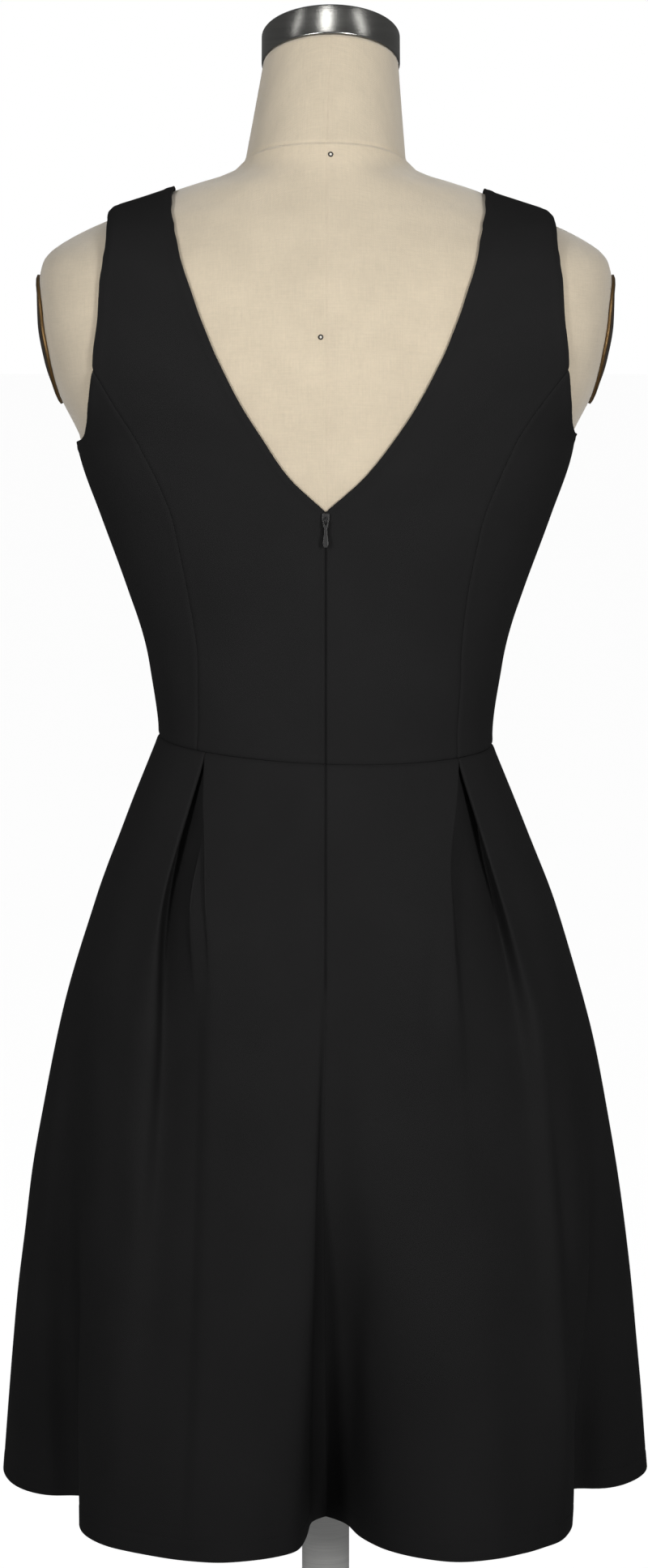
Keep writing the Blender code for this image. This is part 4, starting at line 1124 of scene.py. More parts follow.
class BodiceSide:
    """The edges of one side of the bodice, half of its back or of its front."""

    def __init__(self, side, front, thickness):
        self.side, self.front, self.thickness = side, front, thickness
        neckline = FRONT_NECKLINE if front else BACK_NECKLINE
        armhole = FRONT_ARMHOLE if front else BACK_ARMHOLE
        princess = FRONT_PRINCESS if front else BACK_PRINCESS
        self.centre = 180 if front else 0
        self.point_share = FRONT_POINT_SHARE if front else BACK_POINT_SHARE
        point = FRONT_POINT if front else BACK_POINT
        shoulder_in = (90, ridge_height(STRAP_INSIDE[side]))
        shoulder_out = (90, ridge_height(STRAP_OUTSIDE[side]))
        arm = [self.place(edge) for edge in armhole]
        self.waist_princess = self.place(princess[-1])[0]
        seam = [arm[-1]] + [self.place(edge) for edge in princess[:-1]]
        seam.append((self.waist_princess, self.waist(self.waist_princess)))
        self.princess = self.sided(trace(seam[::-1]))
        self.centre_seam = self.sided(trace([(self.centre, self.waist(self.centre)), (self.centre, point)]))
        neck = [(self.centre, point)] + [self.place(edge) for edge in neckline]
        neck += self.run_up(neckline[-1], STRAP_INSIDE[side])
        self.neckline = self.sided(trace(neck + [shoulder_in]))
        outer = self.run_up(armhole[0], STRAP_OUTSIDE[side])
        self.armhole_upper = self.sided(trace(arm[::-1] + outer + [shoulder_out]))
        self.armhole_lower = self.sided(trace(self.underarm_sweep(*arm[-1])))
        self.side_seam = self.sided(trace([(90, self.waist(90)), (90, UNDERARM[side])]))
        self.shoulder = self.sided(trace([shoulder_in, shoulder_out]))

    def underarm_sweep(self, bearing, height):
        """Places from the end of the princess seam down and round to the side seam."""
        low = UNDERARM[self.side]
        sweep = [(share, (1 - share) ** UNDERARM_SWEEP) for share in UNDERARM_SHARES]
        return [(bearing + (90 - bearing) * share, low + (height - low) * rise) for share, rise in sweep]

    def run_up(self, edge, ridge_half_width):
        """Places from the last row of an edge's table straight up to the shoulder's ridge."""
        start = self.half_width(edge)
        top = ridge_height(ridge_half_width)
        places = []
        for share in RIDGE_SHARES:
            half_width = start + (ridge_half_width - start) * share
            height = edge.height + (min(top, ridge_height(half_width)) - edge.height) * share
            places.append((bearing_at(half_width, height, self.front), height))
        return places

    def half_width(self, edge):
        return edge.right if self.side > 0 else edge.left

    def place(self, edge):
        return bearing_at(self.half_width(edge), edge.height, self.front), edge.height

    def waist(self, bearing):
        return waist_seam(self.side * bearing)

    def sided(self, travel):
        return lambda share: travel(share) * (self.side, 1)

    def waist_between(self, start, end):
        def travel(share):
            bearing = start + (end - start) * share
            return np.array((self.side * bearing, self.waist(bearing)))

        return travel

    def centre_patch(self, columns, rows):
        width, length = CENTRE_PANEL
        across = shares(columns, width)
        up = sorted(set(shares(rows, length)) | {self.point_share, ARMHOLE_FOOT_SHARE})
        inner = joined(self.centre_seam, self.neckline, self.point_share)
        outer = joined(self.princess, self.armhole_upper, ARMHOLE_FOOT_SHARE)
        below_point = np.array([float(v <= self.point_share) for v in up])
        sewn = {
            "left": 2 * below_point if self.front else below_point,
            "right": np.array([float(v <= ARMHOLE_FOOT_SHARE) for v in up]),
            "bottom": 1,
            "top": 1,
        }
        waist = self.waist_between(self.centre, self.waist_princess)
        edges = waist, self.shoulder, inner, outer
        patch = bodice_patch(*edges, across, up, sewn, self.thickness, 0)
        return patch._replace(flat=patch.flat * (self.side, 1))

    def side_patch(self, columns, rows):
        width, length = SIDE_PANEL
        across, up = shares(columns, width), shares(rows, length)
        sewn = {"left": 1, "right": 1, "bottom": 1, "top": 0}
        waist = self.waist_between(self.waist_princess, 90)
        edges = waist, self.armhole_lower, self.princess, self.side_seam
        return bodice_patch(*edges, across, up, sewn, self.thickness, len(across) // 2)


def add_bodice(settings):
    """Seven panels: two centre backs, two side backs, one centre front and two side fronts."""
    thickness = settings.thickness / MM
    columns, rows = settings.bodice_columns, settings.bodice_rows
    centre_fronts = []
    for side, word in SIDES:
        for front in (False, True):
            half = BodiceSide(side, front, thickness)
            place = "front" if front else "back"
            side_panel = add_wall(
                f"side_{place}_bodice_{word}",
                [half.side_patch(columns, rows * 3 // 5)],
                "crepe",
                node=f"bodice_side_{place}_{word}",
                slot="dress_cloth",
            )
            if front:
                centre_fronts.append(half.centre_patch(columns, rows))
                continue
            centre_panel = add_wall(
                f"centre_back_bodice_{word}",
                [half.centre_patch(columns, rows)],
                "crepe",
                node=f"bodice_centre_back_{word}",
                slot="dress_cloth",
            )
    front_panel = add_wall(
        "centre_front_bodice", centre_fronts, "crepe", node="bodice_centre_front", slot="dress_cloth"
    )


# ---------------------------------------------------------------- skirt


class FoldLine:
    """One line down the skirt, as its bearing and how far it stands out at each share of the drop."""

    def __init__(self, levels, bearings, outs):
        self.bearing = Curve(levels, bearings)
        self.out = Curve(levels, outs)


def hem_place(across, behind):
    """The bearing of a place on the hem, and how far it stands out from the plain skirt."""
    bearing = math.degrees(math.atan2(across, behind))
    return bearing, math.hypot(across, behind) - section_radius(SKIRT, DROP, bearing)


def pleat_lines(pleat, inward):
    """Eight lines, two for each turn of the cloth, which part as the pleat opens towards the hem."""
    levels = [level / DROP for level in PLEAT_LEVELS]
    lines = []
    for row in pleat:
        hem_bearing, hem_out = hem_place(row.hem_across, row.hem_behind)
        bearings = (row.waist_bearing, row.upper_bearing, row.open_bearing, hem_bearing)
        middle = (row.before + row.after) / 2
        outs = (-middle * LAYER_PITCH, row.upper_out, row.open_out, hem_out)
        held_shares = INNER_HELD if row.after > row.before else OUTER_HELD
        for layer, way in ((row.before, -inward), (row.after, inward)):
            spread = [b + way * turn for b, turn in zip(bearings, ROUNDING)]
            spaced = [out + (middle - layer) * LAYER_PITCH * held for out, held in zip(outs, held_shares)]
            lines.append(FoldLine(levels, spread, spaced))
    return lines


def soft_lines(folds, first, last):
    """Lines that part the panel between two others, and swell or sink towards the hem."""
    lines = []
    for fold in folds:
        hem_bearing, hem_out = hem_place(fold.hem_across, fold.hem_behind)
        low, high = first.bearing(1), last.bearing(1)
        hem_share = (hem_bearing - low) / (high - low)
        halfway = (fold.share + hem_share) / 2 if fold.halfway is None else fold.halfway
        share_at = Curve((0, 0.5, 1), (fold.share, halfway, hem_share))
        bearings, outs = [], []
        for level in FOLD_LEVELS:
            share = share_at(level)
            bearings.append(first.bearing(level) + share * (last.bearing(level) - first.bearing(level)))
            grown = max(level - fold.start, 0) / (1 - fold.start)
            outs.append(hem_out * grown**FOLD_GROWTH)
        lines.append(FoldLine(FOLD_LEVELS, bearings, outs))
    return lines


def plain_line(waist_bearing, across, behind):
    """A line that runs evenly to its place on the hem."""
    hem_bearing, hem_out = hem_place(across, behind)
    bearings = [waist_bearing + (hem_bearing - waist_bearing) * level for level in PLAIN_LEVELS]
    grown = [max(level - PLAIN_START, 0) / (1 - PLAIN_START) for level in PLAIN_LEVELS]
    return FoldLine(PLAIN_LEVELS, bearings, [hem_out * g**FOLD_GROWTH for g in grown])


def quarter(centre, tables, side_seam, inward):
    """The lines of a quarter of the skirt between its centre line and its side seam, both left out."""
    centre_folds, pleat, side_folds = tables
    turns = pleat_lines(pleat, inward)
    return soft_lines(centre_folds, centre, turns[0]) + turns + soft_lines(side_folds, turns[-1], side_seam)


def mirrored(lines):
    """The same lines on the wearer's left, counted back from the centre front to the centre back."""
    turned = []
    for line in lines[::-1]:
        other = FoldLine(line.bearing.places, [360 - b for b in line.bearing.values], line.out.values)
        turned.append(other)
    return turned


def skirt_lines():
    """All lines round the skirt from the centre back to the right, and the places of the seams among them."""
    centre_back = plain_line(0, 0, BACK_CENTRE_BEHIND)
    centre_front = plain_line(180, 0, FRONT_CENTRE_BEHIND)
    side = plain_line(90, *SIDE_SEAM_HEM)
    back_right = quarter(centre_back, BACK_RIGHT, side, 1)
    back_left = quarter(centre_back, BACK_LEFT, side, 1)
    front = quarter(centre_front, FRONT, side, -1)[::-1]
    right = [centre_back] + back_right + [side] + front + [centre_front]
    left = mirrored([centre_back] + back_left + [side] + front)
    return right + left, {"right": 1 + len(back_right), "left": len(right) + len(front)}


def skirt_columns(count, seams, finest):
    """Places among the lines at which the mesh has its columns, closest beside the seams."""
    places = set()
    for k in range(count):
        places.update(k + s / finest for s in range(finest))
        if k in seams:
            places.update(k + s for s in SEAM_STEPS)
        if k + 1 in seams:
            places.update(k + 1 - s for s in SEAM_STEPS)
    places.add(float(count))
    return sorted(places)


def turn_bulge(bearings, outs, place):
    """How far a fold's rounded edge swings beyond its two lines, round the body."""
    k = min(int(place), len(bearings) - 2)
    if k == 0:
        return 0.0
    gap = abs(outs[k + 1] - outs[k])
    width = abs(bearings[k + 1] - bearings[k])
    if width > CLOSED_TURN or not NARROWEST_TURN < gap < WIDEST_TURN:
        return 0.0
    arriving = math.copysign(1, bearings[k] - bearings[k - 1])
    size = FOLD_BULGE * gap * (1 - width / CLOSED_TURN)
    return arriving * size * math.sin(math.pi * (place - k))


def skirt_grid(settings):
    """The skirt's middle surface from hem to waist all round, and the columns of its seams."""
    lines, seams = skirt_lines()
    knots = list(range(len(lines)))
    seam_knots = {0, seams["right"], seams["left"], knots[-1]}
    places = skirt_columns(knots[-1], seam_knots, settings.skirt_fineness)
    rows = [1 - v for v in shares(settings.skirt_rows, DROP, HEM_STEPS)]
    points = np.empty((len(rows), len(places), 3))
    for j, share in enumerate(rows):
        line_bearings = [line.bearing(share) for line in lines]
        line_outs = [line.out(share) for line in lines]
        bearings = Curve(knots, line_bearings)
        outs = Curve(knots, line_outs)
        for i, place in enumerate(places):
            bearing = bearings(place)
            radius = section_radius(SKIRT, share * DROP, bearing) + outs(place)
            bearing += math.degrees(turn_bulge(line_bearings, line_outs, place) / radius)
            top = waist_seam(bearing)
            points[j, i] = place_round(radius, bearing, top + (HEM - top) * share)
    points[:, -1] = points[:, 0]
    for j, share in enumerate(rows):
        points[j] = relaxed(points[j], SOFTNESS(share))
    return points, {name: places.index(float(knot)) for name, knot in seams.items()}


def relaxed(row, reach):
    """A closed row of points, each drawn towards its neighbours within a reach along the cloth."""
    if reach < LEAST_SOFTNESS:
        return row
    ring = row[:-1]
    turned = np.degrees(np.arctan2(np.abs(ring[:, 0]), -ring[:, 1]))
    further = smooth_step((turned - PLEAT_SOFTNESS_START) / PLEAT_SOFTNESS_SPAN)
    reach = (reach * (1 + PLEAT_SOFTNESS * further))[:, None]
    steps = np.linalg.norm(np.roll(ring, -1, axis=0) - ring, axis=1)
    travel = np.insert(np.cumsum(steps), 0, 0)[:-1]
    apart = np.abs(travel[:, None] - travel[None, :])
    apart = np.minimum(apart, steps.sum() - apart)
    weights = np.exp(-((apart / reach) ** 2)) * ((steps + np.roll(steps, 1)) / 2)[None, :]
    drawn = weights @ ring / weights.sum(axis=1, keepdims=True)
    return np.vstack((drawn, drawn[:1]))


def round_normals(points):
    """Outward normals of a grid that closes round the body, level along the waist."""
    around = np.concatenate((points[:, -2:-1], points, points[:, 1:2]), axis=1)
    normals = grid_normals(around)[:, 1:-1]
    normals[-1, :, 2] = 0
    return normals / np.linalg.norm(normals, axis=2, keepdims=True)


def skirt_patch(points, normals, first, last, thickness):
    """One panel of the skirt with its seams, hem and creases. The back panels meet over the zip."""
    points, normals = points[:, first : last + 1].copy(), normals[:, first : last + 1]
    points += normals * thickness / 2
    across, along = steps_along(points, 1), steps_along(points, 0)
    height = points[:, :, 2]
    zipped = smooth_step((height - ZIP_FOOT) / ZIP_FADE)
    lift = crease(points, SKIRT_CREASES)
    lift += ripple(points, SKIRT_RIPPLE) * smooth_step((WAIST - height) / SKIRT_RIPPLE_ONSET)
    for distance, column in ((across, 0), (across[:, -1:] - across, -1)):
        profile = rolls(SEAM_ROLLS, distance)
        if abs(points[-1, column, 0]) < CENTRE_REACH:
            profile = rolls(ZIP_ROLLS, distance) * zipped + profile * (1 - zipped)
        lift += profile
    lift += rolls(SEAM_ROLLS + WAIST_ROLLS, along[-1:] - along)
    turned = 1 - smooth_step((height - HEM - HEM_TURN) / HEM_TURN_FADE + 0.5)
    lift += HEM_STAND * turned + rolls(HEM_ROLLS, height - HEM)
    points += normals * lift[:, :, None]
    return Patch(points, normals, thickness + HEM_THICKENING * turned, lay_flat(points, points.shape[1] // 2))


def along_row(points, travel, wanted):
    """The point at each wanted distance along one row of a grid."""
    return np.stack([np.interp(wanted, travel, points[:, axis]) for axis in range(3)], axis=1)


def add_stitches(name, patch, **as_piece):
    """The row of small stitches that holds the hem up."""
    row = int(np.argmin(np.abs(patch.points[:, 0, 2] - HEM - HEM_TURN)))
    line = patch.points[row]
    travel = np.insert(np.cumsum(np.linalg.norm(np.diff(line, axis=0), axis=1)), 0, 0)
    length, width, height = STITCH_SIZE
    starts = np.arange(STITCH_MARGIN, travel[-1] - STITCH_MARGIN, STITCH_PITCH)
    middles = along_row(line, travel, starts)
    ahead = along_row(line, travel, starts + length / 2)
    normals = along_row(patch.normals[row], travel, starts)
    bm = bmesh.new()
    for middle, end, normal in zip(middles, ahead, normals):
        way, out = Vector(end - middle).normalized(), Vector(normal).normalized()
        axes = Matrix((way * length, way.cross(out) * width, out * height)).transposed().to_4x4()
        bmesh.ops.create_icosphere(bm, subdivisions=1, radius=1, matrix=Matrix.Translation(middle) @ axes)
    return add_piece(name, bm, "crepe", slot="dress_cloth", **as_piece)


def add_skirt(settings):
    """Two backs that meet at the centre back seam, and one front between the side seams."""
    thickness = settings.thickness / MM
    points, seams = skirt_grid(settings)
    normals = round_normals(points)
    panels = {
        "skirt_back_right": ("back_skirt_right", 0, seams["right"]),
        "skirt_front": ("front_skirt", seams["right"], seams["left"]),
        "skirt_back_left": ("back_skirt_left", seams["left"], points.shape[1] - 1),
    }
    for node, (name, first, last) in panels.items():
        patch = skirt_patch(points, normals, first, last, thickness)
        panel = add_wall(name, [patch], "crepe", node=node, slot="dress_cloth")
        stitches = add_stitches(f"{name}_hem_stitches", patch)
        cut = CUTS["skirt_front" if "front" in node else "skirt_back"]


# ---------------------------------------------------------------- zip


def zip_axle():
    """The middle of the bridge, which the pull turns about, and the slider's face."""
    stand = CLEARANCE + CLOTH_THICKNESS
    cloth = form_point(0, SLIDER_HEIGHT) + form_normal(0, SLIDER_HEIGHT) * stand
    face = cloth.y - SEAM - SLIDER_STAND
    return Vector((0, face - SLIDER_THICKNESS - AXLE_STAND, SLIDER_HEIGHT)), face


def add_zip():
    """The slider with its bridge, and the pull."""
    axle, face = zip_axle()
    bm = bmesh.new()
    bmesh.ops.create_cube(bm, size=1)
    bmesh.ops.subdivide_edges(bm, edges=bm.edges[:], cuts=4, use_grid_fill=True)
    for vert in bm.verts:
        if vert.co.z < 0:
            vert.co.x *= 1 - SLIDER_FOOT_TAPER * smooth_step(0.5 - vert.co.z)
        else:
            vert.co.x *= 1 - SLIDER_HEAD_TAPER * vert.co.z
    size = Vector((SLIDER_WIDTH, SLIDER_THICKNESS, SLIDER_LENGTH))
    bmesh.ops.scale(bm, vec=size, verts=bm.verts)
    bmesh.ops.translate(bm, vec=(0, face - SLIDER_THICKNESS / 2, SLIDER_HEIGHT), verts=bm.verts)
    round_edges(bm, sharp_edges(bm, SLIDER_SHARP), SLIDER_ROUND, 3)
    bmesh.ops.recalc_face_normals(bm, faces=bm.faces)
    loft(bm, bridge_rings(axle))
    add_piece("zip_slider_body", bm, "zip", node="zip_slider", slot="zip_enamel")
    add_pull(axle)


def bridge_rings(axle):
    """Rings of a wire that leaves the slider, turns a half circle about the axle and goes back in."""
    half_turn = [math.pi / 2 + math.pi * k / BRIDGE_TURNS for k in range(BRIDGE_TURNS + 1)]
    stations = [(math.pi / 2, BRIDGE_SUNK)] + [(angle, 0) for angle in half_turn]
    stations.append((3 * math.pi / 2, BRIDGE_SUNK))
    rings = []
    for angle, inward in stations:
        radial = Vector((0, math.cos(angle), math.sin(angle)))
        centre = axle + radial * BRIDGE_RADIUS + Vector((0, inward, 0))
        ring = []
        for k in range(BRIDGE_SIDES):
            way = math.tau * (k + 0.5) / BRIDGE_SIDES
            ring.append(centre + (radial * math.cos(way) + Vector((math.sin(way), 0, 0))) * BRIDGE_WIRE)
        rings.append(ring)
    return rings


def add_pull(axle):
    """A drop-shaped pull with a slot at its head, through which the bridge passes."""
    width = Curve([row.below for row in PULL_ROWS], [row.half_width for row in PULL_ROWS])
    room = BRIDGE_WIRE + SLOT_ROOM
    top, foot = PULL_THICKNESS / 2, BRIDGE_RADIUS + room
    slot_depths = np.linspace(top, foot, PULL_SLOT_ROWS)
    body_depths = np.linspace(foot + 0.5, PULL_BODY_END, PULL_BODY_ROWS)
    depths = [*PULL_HEAD_DEPTHS, *slot_depths, *body_depths, *PULL_FOOT_DEPTHS]
    bm = bmesh.new()
    for vert, (row, column) in add_grid(bm, 6, len(depths)).items():
        half = width(depths[row])
        slot = min(room, half * SLOT_SHARE)
        off = column - 2.5
        across = {0.5: slot * SLOT_MIDDLE_SHARE, 1.5: slot, 2.5: half}[abs(off)]
        vert.co = axle + Vector((math.copysign(across, off), -PULL_THICKNESS / 2, -depths[row]))
    hole = []
    for face in bm.faces:
        place = face.calc_center_median() - axle
        if abs(place.x) < room and top < -place.z < foot:
            hole.append(face)
    bmesh.ops.delete(bm, geom=hole, context="FACES")
    made = bmesh.ops.extrude_face_region(bm, geom=bm.faces[:], use_keep_orig=True)["geom"]
    inner = [item for item in made if isinstance(item, bmesh.types.BMVert)]
    bmesh.ops.translate(bm, vec=(0, PULL_THICKNESS, 0), verts=inner)
    bmesh.ops.recalc_face_normals(bm, faces=bm.faces)
    round_edges(bm, sharp_edges(bm, PULL_SHARP), PULL_ROUND, 2)
    add_piece("zip_pull_drop", bm, "zip", node="zip_pull", slot="zip_enamel", body="zip_pull")


# ---------------------------------------------------------------- dress form


def throat_drop(bearing, fullness):
    """How far a line round the neck falls from the nape, on its way to the throat."""
    return NAPE_TO_THROAT_DROP * ((1 - math.cos(math.radians(bearing))) / 2) ** fullness


def form_bearings():
    """Bearings round the form, closest beside the seams at its centre back and centre front."""
    bearings = {float(b) for b in range(-180, 181, FORM_BEARING_STEP)}
    for centre in (-180, 0, 180):
        bearings.update(centre + way * b for b in NEAR_CENTRE_SEAM for way in (-1, 1))
    return sorted(b for b in bearings if -180 <= b <= 180)


def form_heights():
    heights = [*np.arange(*TORSO_HEIGHTS), *np.arange(*SHOULDER_HEIGHTS)]
    return heights + [NAPE - d for d in NEAR_NECK_SEAM[::-1]] + [NAPE]


def torso_point(bearing, height):
    share = max(height - NECK_SWEEP_START, 0) / (NAPE - NECK_SWEEP_START)
    return form_point(bearing, height - throat_drop(bearing, NECK_SEAM_FULLNESS) * share * share)


def neck_point(seam, foot, top, bearing, share):
    """A point on the neck: on the torso's own sweep up to the neck's foot, and straight from there."""
    height = seam.z + (top.z - seam.z) * share
    if height < foot.z:
        return form_point(bearing, height)
    return foot.lerp(top, (height - foot.z) / (top.z - foot.z))


def add_form():
    """The padded torso and neck under one linen cover, with seams down its centres and round the neck."""
    bearings, heights = form_bearings(), form_heights()
    tilt = Matrix.Rotation(math.radians(-NECK_TILT), 3, "X")
    points = np.empty((len(heights) + len(NECK_SHARES), len(bearings), 3))
    for i, bearing in enumerate(bearings):
        for j, height in enumerate(heights):
            points[j, i] = torso_point(bearing, height)
        seam = torso_point(bearing, NAPE)
        foot = form_point(bearing, NAPE - throat_drop(bearing, NECK_FOOT_FULLNESS))
        top = tilt @ Vector(place_round(NECK_TOP_RADIUS, bearing, 0)) + NECK_MIDDLE
        for j, share in enumerate(NECK_SHARES):
            points[len(heights) + j, i] = neck_point(seam, foot, top, bearing, share)
    points[:, -1] = points[:, 0]
    normals = round_normals(points)
    along = steps_along(points, 0)
    above_seam = along - along[len(heights) - 1 : len(heights)]
    turned = np.abs(np.array(bearings))[None, :]
    from_centre = np.radians(np.minimum(turned, 180 - turned)) * np.hypot(points[:, :, 0], points[:, :, 1])
    lift = rolls(NECK_SEAM_ROLLS, above_seam) + rolls(FORM_CENTRE_ROLLS, from_centre)
    points += normals * lift[:, :, None]
    add_skin("linen_torso", points, lay_flat(points, len(bearings) // 2))
    add_pins()


def add_skin(name, points, flat):
    """A closed body from a grid that closes round it, filled at its foot and its top."""
    rows, columns = points.shape[:2]
    bm = bmesh.new()
    cut = bm.loops.layers.uv.new("cut")
    cells = add_grid(bm, columns, rows)
    for vert, cell in cells.items():
        vert.co = points[cell]
    lay_cut(cut, cells, flat)
    bmesh.ops.remove_doubles(bm, verts=bm.verts, dist=SKIN_MERGE)
    ends = bmesh.ops.holes_fill(bm, edges=[e for e in bm.edges if e.is_boundary], sides=0)["faces"]
    bmesh.ops.poke(bm, faces=ends)
    bmesh.ops.recalc_face_normals(bm, faces=bm.faces)
    add_piece(name, bm, "linen", node="form_body", slot="form_linen")


def add_pins():
    """Pale pins in dark cups that hold the cover on the form at its nape and down its centre back."""
    pins, cups = bmesh.new(), bmesh.new()
    for pin in PINS:
        bearing = solve(lambda b: torso_point(b, pin.z).x, pin.x, *PIN_BEARINGS)
        out = form_normal(bearing, pin.z)
        head = torso_point(bearing, pin.z) + out * PIN_STAND
        facing = Matrix.Translation(head) @ out.to_track_quat("Z", "Y").to_matrix().to_4x4()
        shape = facing @ Matrix.Diagonal((1, 1, PIN_FLATNESS, 1))
        sides = {"u_segments": PIN_SIDES, "v_segments": PIN_RINGS}
        bmesh.ops.create_uvsphere(pins, radius=PIN_RADIUS, matrix=shape, **sides)
        places = [Vector((PIN_CUP_RADIUS * row.radius, 0, row.height)) for row in PIN_CUP]
        rim = [cups.verts.new(facing @ place) for place in places]
        edges = [cups.edges.new((a, b)) for a, b in zip(rim, rim[1:] + rim[:1])]
        turn = {"cent": head, "axis": out, "angle": math.tau, "steps": PIN_CUP_SIDES}
        bmesh.ops.spin(cups, geom=rim + edges, use_merge=True, **turn)
    bmesh.ops.remove_doubles(cups, verts=cups.verts, dist=SKIN_MERGE)
    bmesh.ops.recalc_face_normals(cups, faces=cups.faces)
    add_piece("cover_pins", pins, "enamel", slot="plate_bronze")
    add_piece("cover_pin_cups", cups, "dark_cup", slot="plate_bronze")


def add_cap():
    """The slanted steel cap on the neck, with a shallow dish in its top."""
    bm = bmesh.new()
    add_cylinder(bm, CAP_RADIUS, CAP_DEPTH, CAP_SIDES, CAP_ROUND, 4)
    top = [f for f in bm.faces if len(f.verts) > 8 and f.normal.z > 0.9]
    bmesh.ops.inset_region(bm, faces=top, thickness=CAP_RIM, depth=0)
    bmesh.ops.inset_region(bm, faces=top, thickness=CAP_DISH, depth=-CAP_DISH)
    bmesh.ops.poke(bm, faces=[f for f in bm.faces if len(f.verts) > 8])
    tilt = Matrix.Rotation(math.radians(-NECK_TILT), 4, "X")
    lift = Matrix.Translation((0, 0, CAP_DEPTH / 2 + SEAM))
    bmesh.ops.transform(bm, matrix=Matrix.Translation(NECK_MIDDLE) @ tilt @ lift, verts=bm.verts)
    add_piece("steel_neck_cap", bm, "cap_steel", node="form_neck_cap", slot="steel")


def add_arm_plates():
    """An oval metal plate on each side of the form, where an arm would leave it, with a raised rim."""
    count = PLATE_CELLS + 1
    spread = [2 * k / PLATE_CELLS - 1 for k in range(count)]
    for side, word in SIDES:
        points, normals = np.empty((count, count, 3)), np.empty((count, count, 3))
        flat = np.empty((count, count, 2))
        for j, v in enumerate(spread):
            for i, u in enumerate(spread):
                ahead = u * side * math.sqrt(1 - v * v / 2)
                rise = v * math.sqrt(1 - u * u / 2)
                height = PLATE_HEIGHT + PLATE_HALF_HEIGHT * rise
                depth = PLATE_HALF_DEPTH * ahead
                bearing = side * solve(lambda b: form_point(b, height).y, depth, *PLATE_BEARINGS)
                normal = form_normal(bearing, height)
                rim = rolls(PLATE_ROLLS, math.hypot(ahead, rise))
                points[j, i] = form_point(bearing, height) + normal * (SEAM + PLATE_THICKNESS + rim)
                normals[j, i] = normal
                flat[j, i] = (ahead * PLATE_HALF_HEIGHT * MM, rise * PLATE_HALF_HEIGHT * MM)
        patch = Patch(points, normals, np.full((count, count), PLATE_THICKNESS), flat)
        as_piece = {"node": f"form_arm_plate_{word}", "slot": "plate_bronze"}
        add_wall(f"arm_plate_cover_{word}", [patch], "bronze", PLATE_ROUND, **as_piece)


def add_stand():
    """A round cast foot with a hub, and the steel pole that carries the form."""
    bm = bmesh.new()
    verts = [bm.verts.new((row.radius, 0, row.height)) for row in FOOT_PROFILE]
    edges = [bm.edges.new((a, b)) for a, b in zip(verts, verts[1:])]
    turn = {"cent": (0, 0, 0), "axis": (0, 0, 1), "angle": math.tau, "steps": FOOT_SIDES}
    bmesh.ops.spin(bm, geom=verts + edges, use_merge=True, **turn)
    bmesh.ops.remove_doubles(bm, verts=bm.verts, dist=TURNED_MERGE)
    bmesh.ops.recalc_face_normals(bm, faces=bm.faces)
    foot = add_piece("cast_foot", bm, "iron", node="stand_base", slot="base_iron")
    foot.data.set_sharp_from_angle(angle=math.radians(FOOT_CREASE))

    bm = bmesh.new()
    length = FORM_FOOT - HUB_HEIGHT - 2 * SEAM
    add_cylinder(bm, POLE_RADIUS, length, POLE_SIDES, POLE_ROUND, 2)
    bmesh.ops.translate(bm, vec=(0, 0, HUB_HEIGHT + SEAM + length / 2), verts=bm.verts)
    add_piece("steel_pole", bm, "pole_steel", node="stand_pole", slot="steel")


# ---------------------------------------------------------------- studio


# The lamps: where each stands and the height it is aimed at, in metres, its width and height, its power in
# watts, the angle it spreads its light over, and whether it is only a reflector that shows in bright metal.
Lamp = namedtuple("Lamp", "name x y z aim width height power spread reflector")
LAMPS = (
    Lamp("left_softbox", -1.25, -2.5, 1.5, 1.32, 0.5, 0.9, 2.65, 50, False),
    Lamp("right_softbox", 1.25, -2.5, 1.5, 1.32, 0.5, 0.9, 3.5, 50, False),
    Lamp("cap_reflector", -0.29, -1.6, 3.45, 1.49, 0.6, 0.9, 10.0, 180, True),
    Lamp("cap_reflector_left", -2.0, -0.7, 3.14, 1.49, 0.2, 0.9, 1.75, 180, True),
    Lamp("cap_reflector_right", 1.7, -0.85, 3.1, 1.49, 0.36, 0.9, 2.9, 180, True),
)
LAMP_COLOUR = (1.0, 0.985, 0.965)
CAMERA_PLACE = (-0.00108, -3.0, 1.33)
CAMERA_PITCH = 6.102  # degrees below the level
CAMERA_LENS = 103.765


def add_lamp(row):
    lamp = bpy.data.lights.new(row.name, "AREA")
    lamp.shape = "RECTANGLE"
    lamp.size = row.width
    lamp.size_y = row.height
    lamp.energy = row.power
    lamp.spread = math.radians(row.spread)
    lamp.color = LAMP_COLOUR
    stand = bpy.data.objects.new(row.name, lamp)
    stand.location = (row.x, row.y, row.z)
    stand.rotation_euler = (Vector((0, 0, row.aim)) - stand.location).to_track_quat("-Z", "Y").to_euler()
    stand.visible_diffuse = not row.reflector
    bpy.context.scene.collection.objects.link(stand)
    return stand


